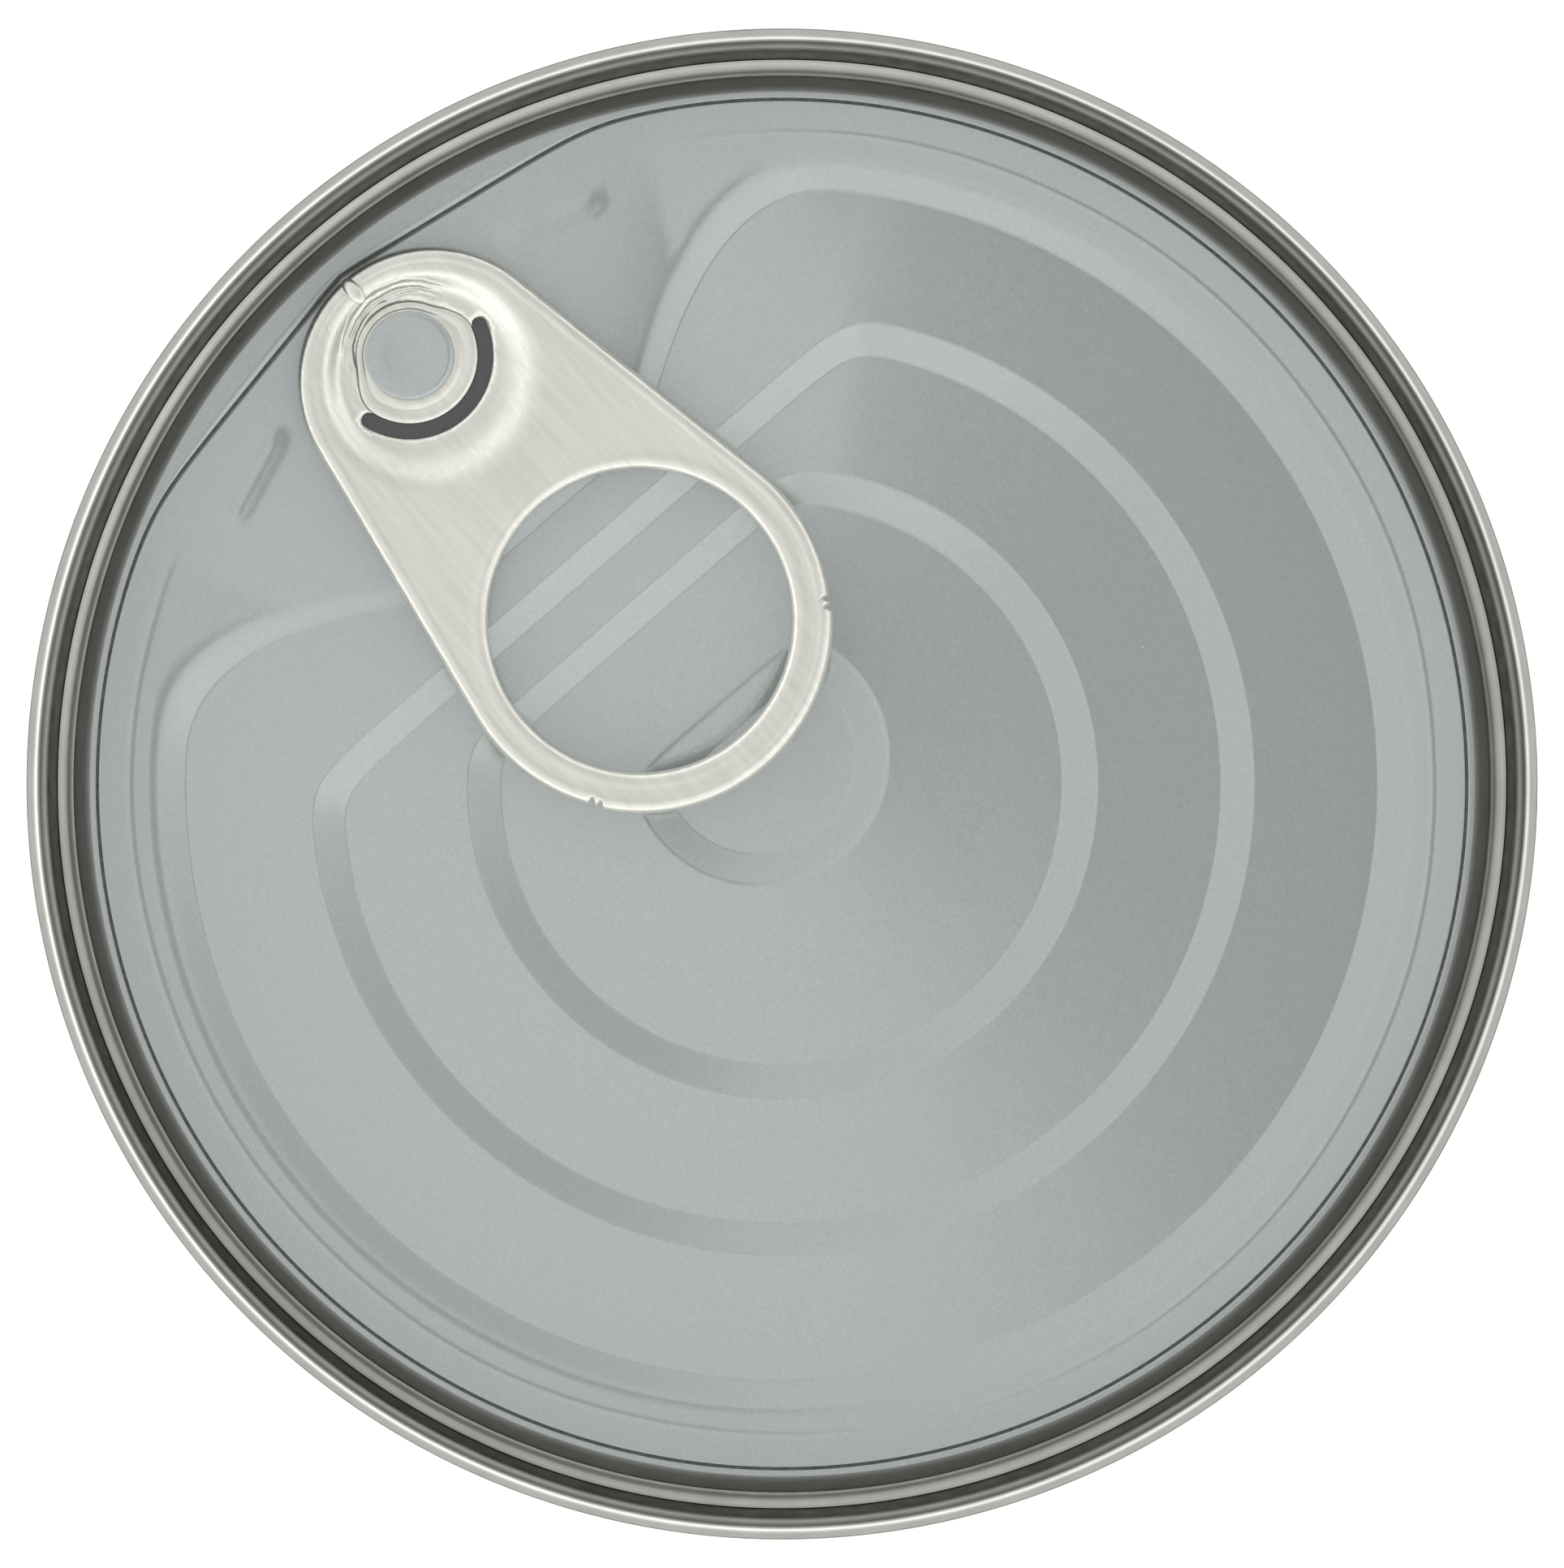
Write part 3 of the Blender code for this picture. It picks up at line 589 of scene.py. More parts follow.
def build_end_ring(look):
    """Double seam, chuck wall and countersink in one sheet, ending at the score's outer edge."""
    shown = [
        (34.82, 0.0),
        (34.92, 0.003),
        (35.02, 0.04),
        (35.12, 0.15),
        (35.24, 0.38),
        (35.34, 0.65),
        (35.68, 1.5),
        (35.72, 1.6),
        (35.78, 1.64),
        (36.02, 1.64),
        (36.12, 1.635),
        (36.3, 1.605),
        (36.46, 1.57),
        (36.59, 1.54),
        (36.61, 1.52),
        (36.625, 1.46),
        (36.64, 1.2),
        (36.66, 1.0),
        (36.95, -2.5),
        (36.965, -2.7),
        (36.98, -2.99),
        (36.985, -3.0),
        (37.0, -3.0),
        (37.06, -3.0),
        (37.38, -3.0),
        (37.46, -2.995),
        (37.54, -2.96),
        (37.84, -2.7),
        (38.03, -2.38),
        (38.1, -1.95),
        (38.1, -0.45),
        (38.05, -0.1),
        (37.88, 0.09),
        (37.66, 0.09),
        (37.42, -0.05),
        (37.3, -0.35),
        (37.29, -2.0),
    ]
    path = eased([(r * MM, PANEL_TOP - down * MM) for r, down in shown])
    section = backed(path, lambda r, z: SHEET)
    form = bmesh.new()
    rows = []
    for i in range(TURN_STEPS * 2):
        angle = math.pi * i / TURN_STEPS
        edge = score_radius(angle if angle <= math.pi else angle - math.tau) + SCORE_GROOVE / 2
        lip = [(edge + (section[0][0] - edge) * k / 3, PANEL_TOP) for k in range(3)]
        lip[0] = (edge, PANEL_TOP - 0.015 * MM)
        lip.insert(1, (edge + 0.02 * MM, PANEL_TOP))
        under = [(r, z - SHEET) for r, z in reversed(lip)]
        ring = lip + section + under
        rows.append([form.verts.new((r * math.sin(angle), -r * math.cos(angle), z)) for r, z in ring])
    skin(form, rows, closed_rows=True)
    return show(finish_mesh("end_seam_ring", form, look), "can", "tinplate", "end_ring")


def build_score_web(look):
    """The thin metal left at the bottom of the score, painted dark as the shade in the groove."""
    form = bmesh.new()
    top = PANEL_TOP - SCORE_DEPTH
    rows = []
    for i in range(PANEL_STEPS):
        angle = math.tau * i / PANEL_STEPS
        middle = score_radius(angle if angle <= math.pi else angle - math.tau)
        corners = ((0.25, 0), (-0.25, 0), (-0.25, -0.04), (0.25, -0.04))
        ring = [(middle + across * MM, top + up * MM) for across, up in corners]
        rows.append([form.verts.new((r * math.sin(angle), -r * math.cos(angle), z)) for r, z in ring])
    skin(form, rows, closed_rows=True)
    return show(finish_mesh("score_web", form, look), "can", "tinplate")


def tipped(outer, inner, tilt):
    """How far a level is lifted at its outer edge (0) and its inner edge (1), as functions of the angle."""
    return lambda side: lambda angle: (side - 0.5) * tilt * min(WIDEST_TIP, outer(angle) - inner(angle))


def panel_rings():
    """(radius, lift, drop) of each ring of the panel's grid, from the score inwards."""

    def last(angle):
        return score_radius(angle) - SCORE_GROOVE / 2

    def centre(_):
        return 0.0

    def between(a, b, share):
        return lambda angle: a(angle) * (1 - share) + b(angle) * share

    rings = []
    level = 0.0
    fine = [0, 0.012, 0.03, 0.06] + [k / 40 for k in range(4, 37)] + [0.94, 0.97, 0.988]
    coarse = [0, 0.012, 0.03, 0.1, 0.25, 0.5, 0.75, 0.9, 0.97, 0.988]
    flats = (fine, coarse, coarse, coarse, [0, 0.03, 0.1, 0.3, 0.6])
    rim = tipped(last, BEADS[0][0], TERRACE_TILTS[0])
    tips = [lambda side: lambda angle: rim(side)(angle) - rim(0)(angle)]
    for bead, (_, inner, _, _) in enumerate(BEADS):
        onward = BEADS[bead + 1][0] if bead + 1 < len(BEADS) else centre
        tips.append(tipped(inner, onward, TERRACE_TILTS[bead + 1]))
    for bead, (outer, inner, drop, top) in enumerate(BEADS):
        for share in flats[bead]:
            rings.append((between(last, outer, share), between(tips[bead](0), tips[bead](1), share), level))
        for share in (0, top / 3, top / 1.5, top, (1 + top) / 2, 0.93, 0.965):
            fallen = pressed(share, top)
            lift = between(tips[bead](1), tips[bead + 1](0), fallen)
            rings.append((between(outer, inner, share), lift, level + drop * fallen))
        level += drop
        last = inner
    for share in flats[-1]:
        rings.append((between(last, centre, share), between(tips[-1](0), tips[-1](1), share), level))
    return rings, level, tips[-1](1)(0)


def panel_height(x, y, drop):
    """Height of the domed panel at a point, that far down its beads."""
    radius = math.hypot(x, y)
    return PANEL_TOP + BULGE * (1 - (radius / SCORE_RADIUS) ** 2) - drop + relief(x, y)


def build_panel(look):
    """Tear panel: its beads, ribs and folds are pressed into one domed sheet."""
    form = bmesh.new()
    rings, lowest, middle_lift = panel_rings()
    rows = []
    for ring, (radius_at, lift_at, drop) in enumerate(rings):
        row = []
        for i in range(PANEL_STEPS):
            angle = math.tau * i / PANEL_STEPS
            angle = angle if angle <= math.pi else angle - math.tau
            radius = radius_at(angle)
            x, y = radius * math.sin(angle), -radius * math.cos(angle)
            z = panel_height(x, y, drop) + lift_at(angle)
            row.append(form.verts.new((x, y, z - 0.015 * MM if ring == 0 else z)))
        rows.append(row)
    middle = panel_height(0, 0, lowest) + middle_lift
    rows.append([form.verts.new((0, 0, middle))] * PANEL_STEPS)
    skin(form, rows)
    panel = finish_mesh("panel_pressing", form, look)
    if panel.data.polygons[0].normal.z < 0:
        panel.data.flip_normals()
    sheet = panel.modifiers.new("Sheet", "SOLIDIFY")
    sheet.thickness = 0.1 * MM
    sheet.offset = -1
    return show(panel, "lid", "panel_lacquer", "tear_panel")


def build_rivet(look):
    """Rivet head: a flat button with a rounded rim, drawn up from the panel."""
    foot, head, top = PANEL_TOP, PANEL_TOP + 0.45 * MM, PANEL_TOP + 0.81 * MM
    section = [
        (0, top - 0.035 * MM),
        (1.2 * MM, top - 0.03 * MM),
        (1.95 * MM, top),
        (2.12 * MM, top - 0.01 * MM),
        (2.21 * MM, top - 0.06 * MM),
        (2.24 * MM, top - 0.15 * MM),
        (2.22 * MM, head),
        (1.5 * MM, head - 0.03 * MM),
        (1.5 * MM, foot),
        (0, foot - 0.05 * MM),
    ]
    rivet = turned("rivet_head", section, look, 128)
    rivet.location.y = -RIVET_STATION
    return show(rivet, "lid", "panel_lacquer")


def island_radius(angle):
    """Edge of the island round the rivet: wide at the slot, and cut close where it runs on into the tab."""
    narrow = smoothstep(SLOT_HALF_ANGLE, SLOT_HALF_ANGLE + 0.8, angle)
    return SLOT_INNER + (ISLAND_EDGE - SLOT_INNER) * narrow


def build_island(look):
    """The tab's island under the rivet head, with the ring that the riveting tool presses into it."""
    form = bmesh.new()
    middle = Vector((0, -RIVET_STATION, DISH_FLOOR))
    pressed_ring = ((0, 0), (0.55, 0), (0.6, 0.05), (0.66, 0.05), (0.7, 0))
    edge = ((0.88, 0.0), (0.96, 0.03), (1, 0.1), (1, 0.24), (0, 0.24))
    levels = pressed_ring + edge  # (share of the way out to the edge, depth in millimetres)
    rows = []
    for share, depth in levels:
        row = []
        for i in range(180):
            angle = math.tau * i / 180 - math.pi
            radius = 1.6 * MM + (island_radius(abs(angle)) - 1.6 * MM) * share
            out = Vector((math.sin(angle), math.cos(angle), 0)) * radius
            row.append(form.verts.new(middle + out - Vector((0, 0, depth * MM))))
        rows.append(row)
    skin(form, rows, closed_rows=True)
    return show(finish_mesh("rivet_island", form, look), "lid", "tab_metal", "tab_rivet_tongue")


# ---------------------------------------------------------------- the pull tab


def along_tab_edge():
    """(point, inward normal) round the tab: two round ends and the straight sides between them."""
    lean = math.asin((RING_RADIUS - NOSE_RADIUS) / (NOSE_STATION - RING_STATION))
    quarter = math.pi / 2 - lean
    edge = []

    def swing(station, radius_at, start, end, steps):
        for i in range(steps + 1):
            angle = start + (end - start) * i / steps
            out = Vector((math.sin(angle), -math.cos(angle)))
            edge.append((Vector((0, -station)) + out * radius_at(angle), -out))

    def side(steps):
        (start, normal), end = edge[-1], straight_end
        for i in range(1, steps):
            edge.append((start.lerp(end, i / steps), normal))

    def ring_radius(angle):
        from_nose = angle if angle <= math.pi else math.tau - angle
        return RING_RADIUS + 0.1 * MM * smoothstep(NOTCH_ANGLE - 0.01, NOTCH_ANGLE + 0.04, from_nose)

    first = Vector((math.sin(quarter), -math.cos(quarter)))
    swing(NOSE_STATION, lambda a: NOSE_RADIUS, -quarter, quarter, 72)
    straight_end = Vector((0, -RING_STATION)) + first * RING_RADIUS
    side(36)
    swing(RING_STATION, ring_radius, quarter, math.tau - quarter, 300)
    straight_end = Vector((0, -NOSE_STATION)) + Vector((-first.x, first.y)) * NOSE_RADIUS
    side(36)
    return edge


def notch(point, inset):
    """Extra inset where the strip that carried the tab was cut off."""
    out = point - Vector((0, -RING_STATION))
    if out.y < 0:
        return 0.0
    angle = abs(math.atan2(out.x, -out.y))
    offset = abs(angle - NOTCH_ANGLE) * RING_RADIUS
    ridge = abs(offset - 0.24 * MM) < 0.11 * MM
    return (0.26 * MM if ridge else 0.0) * (1 - smoothstep(0.1 * MM, 0.6 * MM, inset))


def roll_section(radius):
    """(inset, height) of a rolled edge, from its crest over the outside and back up inside."""
    angles = [math.radians(a) for a in (0, 15, 30, 45, 60, 75, 90, 110, 130, 150, 180, 215, 250)]
    return [(radius - radius * math.sin(a), radius + radius * math.cos(a)) for a in angles]


def window_outline():
    """The tab's opening over the island: the arc slot on the ring side, and the bend's edge behind it."""
    centre = Vector((0, -RIVET_STATION))
    middle, half = (SLOT_INNER + SLOT_OUTER) / 2, (SLOT_OUTER - SLOT_INNER) / 2

    def at(radius, angle):
        return centre + Vector((math.sin(angle), math.cos(angle))) * radius

    outline = [at(SLOT_OUTER, SLOT_HALF_ANGLE * k / 24) for k in range(-24, 25)]
    end = at(middle, SLOT_HALF_ANGLE)
    outward = (end - centre).normalized()
    onward = Vector((outward.y, -outward.x))
    turns = [math.pi * k / 12 for k in range(1, 11)]
    tip = [end + (outward * math.cos(b) + onward * math.sin(b)) * half for b in turns]
    outline += tip
    start = SLOT_HALF_ANGLE + 0.012
    for k in range(71):
        angle = start + (math.tau - 2 * start) * k / 70
        outline.append(at(island_radius(min(angle, math.tau - angle)) + ISLAND_GAP, angle))
    outline += [Vector((-p.x, p.y)) for p in reversed(tip)]
    return outline


def inside(outline, point):
    """Whether a point is inside a closed outline, by how often a line from it crosses the outline."""
    found = False
    for a, b in zip(outline, outline[1:] + outline[:1]):
        if (a.y > point.y) != (b.y > point.y) and point.x < (b.x - a.x) * (point.y - a.y) / (b.y - a.y) + a.x:
            found = not found
    return found


def web_height(point):
    """Height of the tab's web: level, but dished round the rivet."""
    from_dish = point - Vector((0, -DISH_STATION))
    angle = abs(math.atan2(from_dish.x, from_dish.y))  # 0 on the ring side
    reach = (6.35 - 1.4 * smoothstep(0.5, 2.6, angle)) * MM
    share = 1 - smoothstep(DISH_FLOOR_RADIUS, reach, from_dish.length)
    return TAB_WEB + (DISH_FLOOR - TAB_WEB) * share


def build_web(form, outer_loop, hole_loop):
    """Triangles that fill the web, between the two rolled edges and round the window."""
    window = window_outline()
    loops = [[Vector(v.co[:2]) for v in outer_loop], [Vector(v.co[:2]) for v in hole_loop], window]
    points, edges = [], []
    for loop in loops:
        first = len(points)
        points += loop
        edges += [(first + i, first + (i + 1) % len(loop)) for i in range(len(loop))]
    hole = Vector((0, -RING_STATION))
    dish = Vector((0, -DISH_STATION))
    for step, near in ((0.3 * MM, False), (0.15 * MM, True)):
        cells = {(round(p.x / step), round(p.y / step)) for loop in loops for p in loop}
        for row in range(int(-34.5 * MM / step), 1):
            for column in range(int(-10 * MM / step), int(10 * MM / step) + 1):
                point = Vector(((column + 0.5 * (row % 2)) * step, row * step))
                if ((point - dish).length < 7 * MM) != near:
                    continue
                if not inside(loops[0], point) or inside(window, point):
                    continue
                cell = (round(point.x / step), round(point.y / step))
                crowded = any((cell[0] + i, cell[1] + j) in cells for i in (-1, 0, 1) for j in (-1, 0, 1))
                if not crowded and (point - hole).length > FINGER_HOLE_RADIUS + HOLE_WEB_INSET:
                    points.append(point)
    flat, _, triangles, *_ = delaunay_2d_cdt(points, edges, [], 1, 1e-8)
    verts = [form.verts.new((p.x, p.y, web_height(p))) for p in flat]
    for corners in triangles:
        middle = sum((flat[c] for c in corners), Vector((0, 0))) / 3
        if inside(loops[0], middle) and not inside(loops[1], middle) and not inside(window, middle):
            form.faces.new([verts[c] for c in corners])
    loose = [v for v in form.verts if not v.link_faces]
    bmesh.ops.delete(form, geom=loose, context="VERTS")


def build_pull_tab(look):
    """Pull tab in one sheet: rolled outer edge, rolled finger hole, and the web between them."""
    form = bmesh.new()
    edge = along_tab_edge()
    rows = []
    level, crest = TAB_WEB - TAB_BOTTOM, TAB_CREST - TAB_WEB
    step_in = [(WEB_INSET, level), (0.78 * MM, level)]
    step_in += [(0.72 * MM, level + 0.3 * crest), (0.65 * MM, level + 0.75 * crest)]
    for inset, up in step_in + roll_section(ROLL_RADIUS):
        row = [point + normal * (inset + notch(point, inset)) for point, normal in edge]
        rows.append([form.verts.new((p.x, p.y, TAB_BOTTOM + up)) for p in row])
    skin(form, rows)
    hole_rows = []
    hole_steps = 240
    lift = 2 * (ROLL_RADIUS - HOLE_ROLL_RADIUS)
    hole_in = [(HOLE_WEB_INSET, level), (0.98 * MM, level), (0.88 * MM, level + 0.15 * crest)]
    hole_in += [(0.77 * MM, level + 0.5 * crest), (0.66 * MM, level + 0.85 * crest)]
    for inset, up in hole_in + [(inset, up + lift) for inset, up in roll_section(HOLE_ROLL_RADIUS)]:
        radius = FINGER_HOLE_RADIUS + inset
        angles = [math.tau * i / hole_steps for i in range(hole_steps)]
        ring = [(radius * math.sin(a), -RING_STATION - radius * math.cos(a)) for a in angles]
        hole_rows.append([form.verts.new((x, y, TAB_BOTTOM + up)) for x, y in ring])
    skin(form, hole_rows)
    build_web(form, rows[0], hole_rows[0])
    bmesh.ops.remove_doubles(form, verts=form.verts, dist=0.001 * MM)
    tab = finish_mesh("pull_tab_sheet", form, look)
    highest = max(tab.data.polygons, key=lambda face: face.center.z)
    if highest.normal.z < 0:
        tab.data.flip_normals()
    sheet = tab.modifiers.new("Sheet", "SOLIDIFY")
    sheet.thickness = TAB_SHEET
    sheet.offset = -1
    return show(tab, "tab", "tab_metal", "pull_tab")


def build_nose_bead(look):
    """The bead pressed across the tab's nose, which starts the tear."""
    form = bmesh.new()
    length, width, height = 0.8 * MM, 0.44 * MM, 0.36 * MM
    rows = []
    for i in range(1, 24):
        polar_angle = math.pi * i / 24
        row = []
        for k in range(32):
            around = math.tau * k / 32
            x = width * math.sin(polar_angle) * math.cos(around)
            y = -length * math.cos(polar_angle)
            z = height * math.sin(polar_angle) * math.sin(around)
            row.append(form.verts.new((x, y, z)))
        rows.append(row)
    skin(form, rows)
    for row in (rows[0], rows[-1]):
        form.faces.new(row)
    bead = finish_mesh("tab_nose_bead", form, look)
    bead.rotation_euler = (math.radians(14), 0, 0)
    bead.location = (0, -NOSE_STATION - NOSE_RADIUS + 0.78 * MM, TAB_CREST - 0.07 * MM)
    return show(bead, "tab", "tab_metal")


# ---------------------------------------------------------------- the body and the label


def build_body(look):
    """Clear moulded body: pushed-up base, rounded heel, straight wall, and the flange in the seam."""
    shown = [
        (0.0, 2.05),
        (6.0, 2.0),
        (13.0, 1.75),
        (15.5, 1.35),
        (17.0, 1.7),
        (23.0, 1.5),
        (27.5, 0.8),
        (29.5, 0.0),
        (31.5, 0.0),
        (33.6, 0.0),
        (35.6, 1.0),
        (36.9, 3.4),
        (37.22, 7.5),
        (37.22, 60.0),
        (37.22, 185.0),
        (37.22, 194.0),
        (37.05, 194.8),
        (37.05, 196.2),
        (37.22, 197.0),
        (37.22, 200.0),
        (37.24, 205.5),
        (37.24, 207.6),
    ]

    def wall(r, z):
        thick = 0.9 - 0.45 * smoothstep(2 * MM, 14 * MM, z if r > 30 * MM else 0)
        neck = 0.17 * smoothstep(196 * MM, 203 * MM, z)
        flange = 0.15 * smoothstep(205.2 * MM, 206.2 * MM, z)
        return -(thick - neck - flange) * MM

    path = eased([(r * MM, z * MM) for r, z in shown])
    body = turned("moulded_body", backed(path, wall), look, 192)
    return show(body, "can", "clear_plastic", "can_body")


def build_label(look):
    """Printed sleeve, a little slack over the wall, with the overlap where its ends are glued."""
    low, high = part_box("label_sleeve")
    radius, overlap = high.x, 0.05 * MM
    form = bmesh.new()
    steps, levels = 360, 40
    rows = []
    for side in (0, -0.1 * MM):
        for j in range(levels + 1):
            j = j if side == 0 else levels - j
            z = low.z + (high.z - low.z) * j / levels
            row = []
            for i in range(steps):
                angle = math.tau * i / steps
                lap = overlap * smoothstep(0, 0.1, angle) * (1 - smoothstep(0.1, 6.2, angle)) - overlap
                slack = 0.02 * MM * noise.noise(Vector((math.cos(angle) * 2, math.sin(angle) * 2, z * 25)))
                r = radius + lap + slack * 0.5 + side
                row.append(form.verts.new((r * math.sin(angle), r * math.cos(angle), z)))
            rows.append(row)
    skin(form, rows, closed_rows=True)
    return show(finish_mesh("printed_label", form, look), "can", "label_print", "label_sleeve")


# ---------------------------------------------------------------- the balls


def seam_point(t):
    """Unit point on a tennis ball's seam, for t from 0 to a full turn."""
    a, b = 1 - SEAM_CURVE, SEAM_CURVE
    x = a * math.cos(t) + b * math.cos(3 * t)
    y = a * math.sin(t) - b * math.sin(3 * t)
    return Vector((x, y, 2 * math.sqrt(a * b) * math.sin(2 * t))).normalized()


def beside_seam(t, distance):
    """Unit point that far, in radians, to one side of the seam."""
    here = seam_point(t)
    along = (seam_point(t + 1e-4) - seam_point(t - 1e-4)).normalized()
    return (here + here.cross(along).normalized() * distance).normalized()


def nap(direction, seed):
    """Unevenness of the felt's surface."""
    coarse = noise.noise(direction * 9 + Vector((seed, 0, 0)))
    fine = noise.noise(direction * 17 + Vector((0, seed, 0)))
    return 0.1 * MM * coarse + 0.07 * MM * fine


def felt_mesh(seed):
    """One dumbbell-shaped felt: its edge rolls down into the channel, and its nap is uneven."""
    form = bmesh.new()
    count, columns = 108, 44
    edge_steps = (0.0, 0.2, 0.5, 0.9, 1.4, 2.0)  # millimetres in from the edge
    rows = []
    for i in range(count + 1):
        t = -math.pi / 4 + math.pi * i / count
        inset = CHANNEL_HALF_WIDTH / BALL_RADIUS
        near, far = beside_seam(t, inset), beside_seam(-math.pi / 2 - t, inset)
        width = near.angle(far, 0.0) * BALL_RADIUS
        edges = [step * MM for step in edge_steps]
        if width < 20 * MM:
            edges = [min(edge, 0.02 * width * k) for k, edge in enumerate(edges)]
        inner = [edges[-1] + (width - 2 * edges[-1]) * k / columns for k in range(1, columns)]
        across = edges + inner + [width - e for e in reversed(edges)]
        row = [near * (BALL_RADIUS - 1.9 * MM)]
        for distance in across:
            share = distance / width if width > 1e-9 else 0
            direction = near.slerp(far, share) if width > 1e-6 else near
            from_edge = min(distance, width - distance, 40 * MM)
            from_tip = (1 - abs(2 * i / count - 1)) * 60 * MM
            drop = 0.75 * MM * (1 - smoothstep(0, 1.5 * MM, min(from_edge, from_tip))) ** 1.5
            row.append(direction * (BALL_RADIUS - 0.1 * MM - drop + nap(direction, seed)))
        row.append(far * (BALL_RADIUS - 1.9 * MM))
        rows.append([form.verts.new(p) for p in row])
    skin(form, rows, closed_columns=False)
    bmesh.ops.remove_doubles(form, verts=form.verts, dist=0.0005 * MM)
    return form


def build_felt(name, body, turn, look, seed, flip, cad_node):
    """One of a ball's two felts: the same shape turned over, so that the two interlock."""
    form = felt_mesh(seed)
    over = Matrix.Rotation(math.pi if flip else 0, 4, "X")
    bmesh.ops.transform(form, matrix=turn @ over, verts=form.verts)
    felt_piece = finish_mesh(name, form, look)
    return show(felt_piece, body, "ball_felt", cad_node)


def build_ball_seam(name, body, turn, look, cad_node):
    """Strip of cement between the felts, slightly hollow across its width."""
    form = bmesh.new()
    count = 360
    width = (CHANNEL_HALF_WIDTH + 0.15 * MM) / BALL_RADIUS
    corners = [(1, 31.2), (1, 32.15), (0.6, 32.2), (0, 32.12), (-0.6, 32.2), (-1, 32.15), (-1, 31.2)]
    rows = []
    for i in range(count):
        t = math.tau * i / count
        wave = 0.03 * MM * noise.noise(seam_point(t) * 12)
        ring = [beside_seam(t, width * side) * (radius * MM + wave) for side, radius in corners]
        rows.append([form.verts.new(p) for p in ring])
    skin(form, rows, closed_rows=True)
    bmesh.ops.transform(form, matrix=turn, verts=form.verts)
    return show(finish_mesh(name, form, look), body, "seam_rubber", cad_node)


def build_balls(felt_look, seam_look, core_look):
    """Three balls, each turned its own way in the can."""
    for i, (body, (x, y, z)) in enumerate(zip(BALL_BODIES, BALL_TURNS)):
        nodes = [f"ball_{i + 1}_{part}" for part in ("felt_a", "felt_b", "seam")]
        core = [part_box(f"ball_{i + 1}_core_{part}") for part in ("upper", "lower")]
        centre = (core[0][0] + core[0][1] + core[1][0] + core[1][1]) / 4
        turn = Matrix.Rotation(math.radians(z), 4, "Z") @ Matrix.Rotation(math.radians(y), 4, "Y")
        turn = Matrix.Translation((0, 0, centre.z)) @ turn @ Matrix.Rotation(math.radians(x), 4, "X")
        build_felt(f"felt_{i + 1}_first", body, turn, felt_look, 3.7 * i, False, nodes[0])
        build_felt(f"felt_{i + 1}_second", body, turn, felt_look, 3.7 * i + 11, True, nodes[1])
        build_ball_seam(f"cement_{i + 1}", body, turn, seam_look, nodes[2])
        for part in ("upper", "lower"):
            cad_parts[f"ball_{i + 1}_core_{part}"].data.materials[0] = core_look


# ---------------------------------------------------------------- the studio


def build_floor():
    """A plain pale surface, lit a little from below."""
    form = bmesh.new()
    size = 6.0
    corners = [(-size, -size, 0), (size, -size, 0), (size, size, 0), (-size, size, 0)]
    form.faces.new([form.verts.new(c) for c in corners])
    look, tree, shader = new_material("light_table", Roughness=0.6, Specular_IOR_Level=0.2)
    shader.inputs["Emission Strength"].default_value = 0.7
    shader.inputs["Emission Color"].default_value = (1, 1, 1, 1)
    mottle = noise_at(tree, place(tree), 9, 3)
    tree.links.new(ramp(tree, mottle, (0.9, 0.9, 0.9), (0.92, 0.92, 0.92)), shader.inputs["Base Color"])
    finish_mesh("floor", form, look)


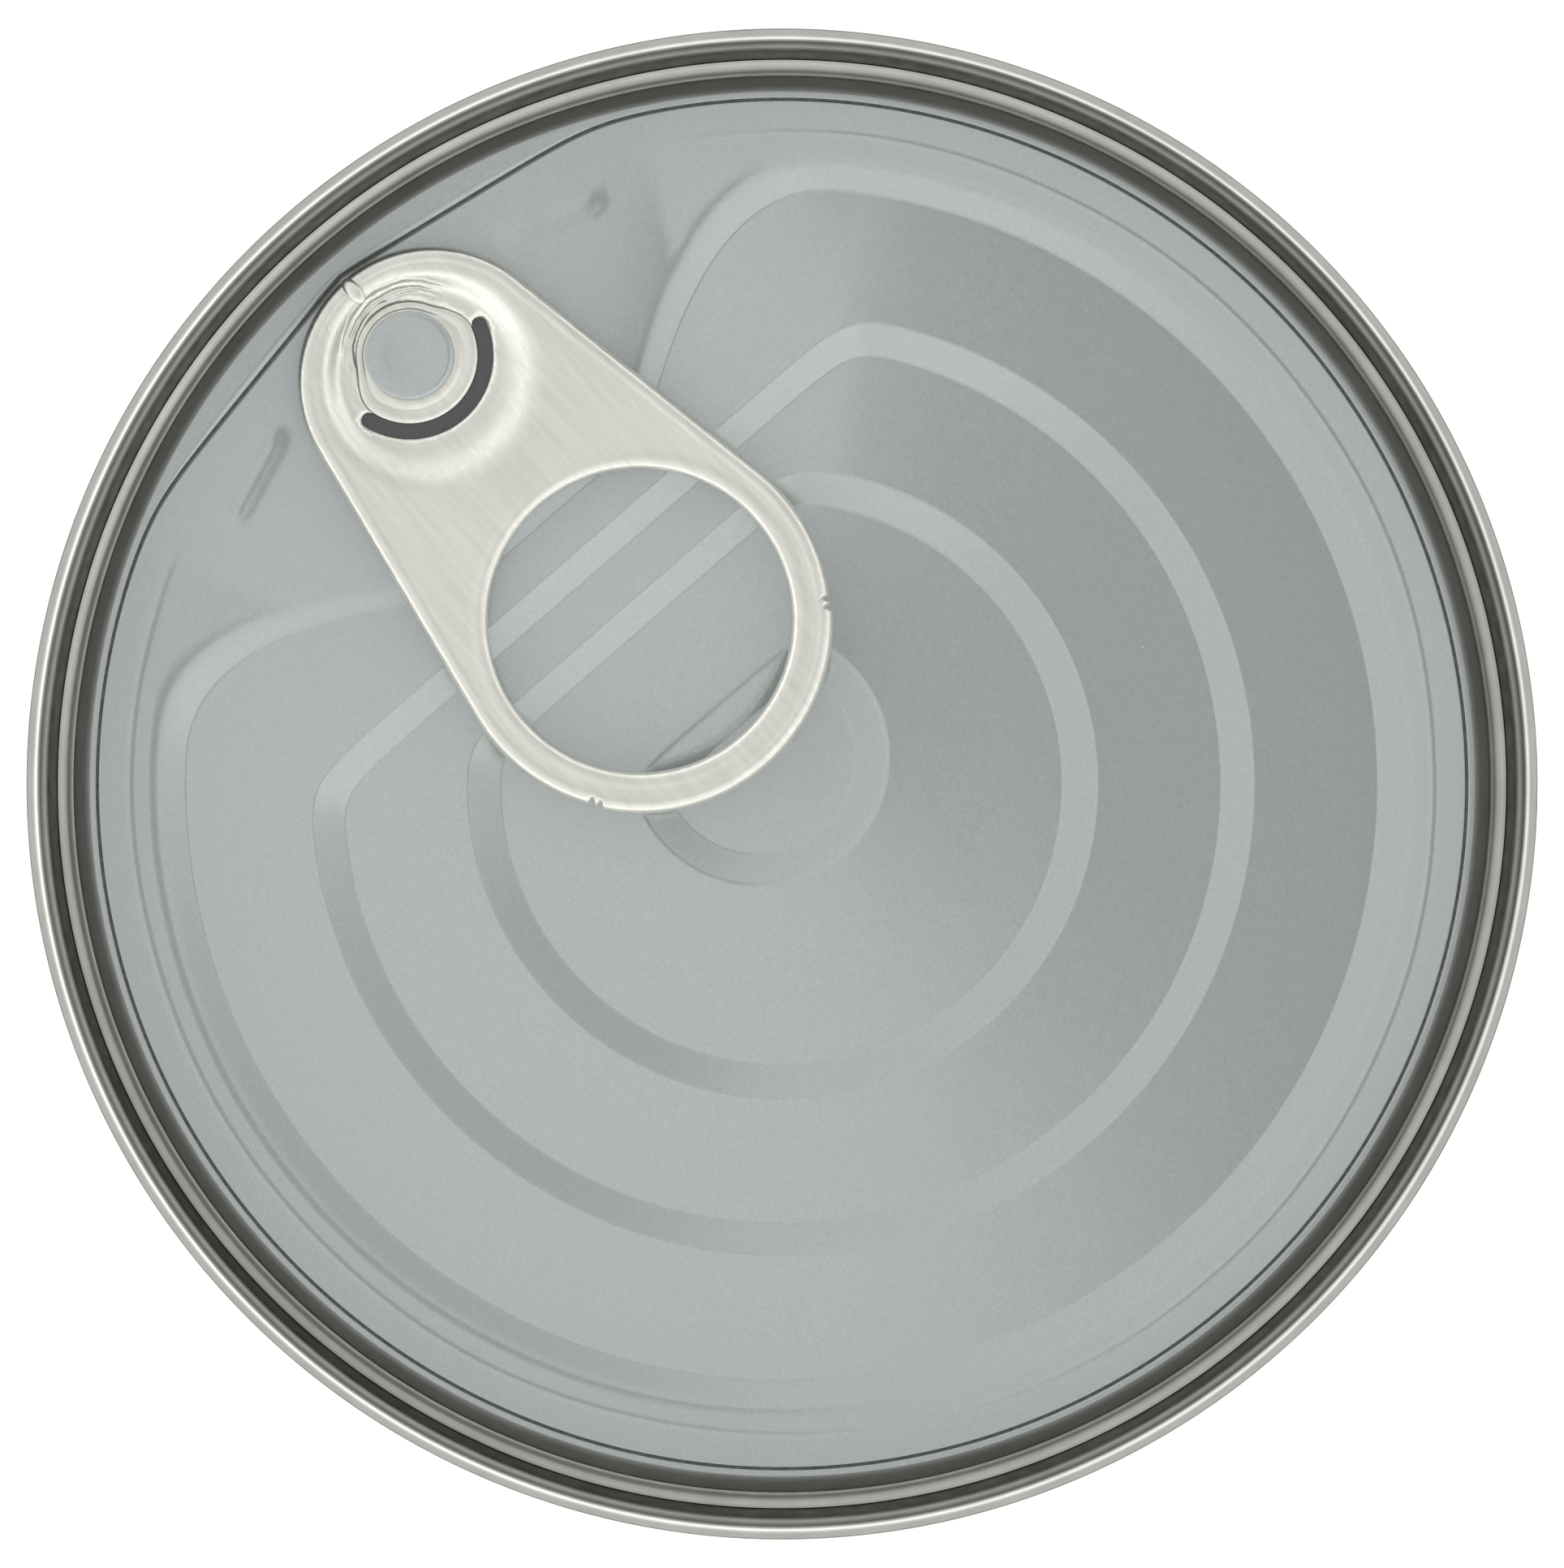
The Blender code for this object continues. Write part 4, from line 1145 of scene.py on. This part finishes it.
def build_light():
    """A bright studio whose ceiling is dim, and dimmer to one side of straight above than to the other."""
    world = bpy.data.worlds.new("studio")
    bpy.context.scene.world = world
    world.use_nodes = True
    tree = world.node_tree
    direction = node(tree, "TexCoord").outputs["Generated"]
    up = node(tree, "SeparateXYZ", {"Vector": direction}).outputs["Z"]

    def facing(turn, height):
        around, above = CAMERA_TURN + math.radians(turn), math.radians(height)
        aim = (math.cos(around) * math.cos(above), math.sin(around) * math.cos(above), math.sin(above))
        return node(tree, "VectorMath", {0: direction, 1: aim}, operation="DOT_PRODUCT").outputs["Value"]

    def mixed(share, a, b):
        return maths(tree, "ADD", a, maths(tree, "MULTIPLY", share, maths(tree, "SUBTRACT", b, a)))

    walls = ramp(tree, facing(200, 0), 1.25, 1.55, -0.8, 0.8)
    total = mixed(ramp(tree, up, 0.0, 1.0, 0.5, 0.66), walls, 0.82)
    ceiling = ramp(tree, facing(15, 0), 0.9, 0.33, 0.015, 0.075)
    total = mixed(ramp(tree, up, 0.0, 1.0, 0.955, 0.985), total, ceiling)
    # (turn from the view's right, height, inner and outer angle, all in degrees, and strength)
    lamps = ((45, 50, 5, 28, -0.3), (262, 52, 5, 25, 0.22), (318, 52, 6, 28, 0.35))
    for turn, height, inner, outer, strength in lamps:
        edges = math.cos(math.radians(outer)), math.cos(math.radians(inner))
        total = maths(tree, "ADD", total, ramp(tree, facing(turn, height), 0.0, strength, *edges))
    background = tree.nodes["Background"]
    background.inputs["Color"].default_value = (1.0, 0.997, 0.99, 1)
    tree.links.new(total, background.inputs["Strength"])


def build_camera():
    """A long lens straight above the end."""
    camera = bpy.data.cameras.new("camera")
    camera.lens, camera.sensor_width = LENS, SENSOR
    distance = VIEW_WIDTH * LENS / SENSOR
    obj = bpy.data.objects.new("camera", camera)
    obj.location = (0, 0, SEAM_TOP - 1.5 * MM + distance)
    obj.rotation_euler = (0, 0, CAMERA_TURN)
    camera.clip_end = 20
    bpy.context.scene.collection.objects.link(obj)
    bpy.context.scene.camera = obj


def build():
    """Every material and piece, the floor, the light and the view."""
    bpy.context.scene.view_settings.view_transform = "Standard"
    paint, sheet = lacquer(), bare_sheet()
    build_end_ring(end_finish())
    build_score_web(groove_shade_paint())
    build_panel(paint)
    build_rivet(paint)
    build_island(sheet)
    build_pull_tab(sheet)
    build_nose_bead(sheet)
    build_body(clear_plastic())
    build_label(label_print())
    cement = rubber("seam_rubber", (0.72, 0.73, 0.66), (0.84, 0.85, 0.79))
    core = rubber("core_rubber", (0.09, 0.085, 0.08), (0.15, 0.14, 0.13))
    build_balls(felt(), cement, core)
    compound = rubber("seal_compound", (0.12, 0.12, 0.11), (0.18, 0.18, 0.17))
    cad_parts["seam_compound"].data.materials[0] = compound
    build_floor()
    build_light()
    build_camera()


build()
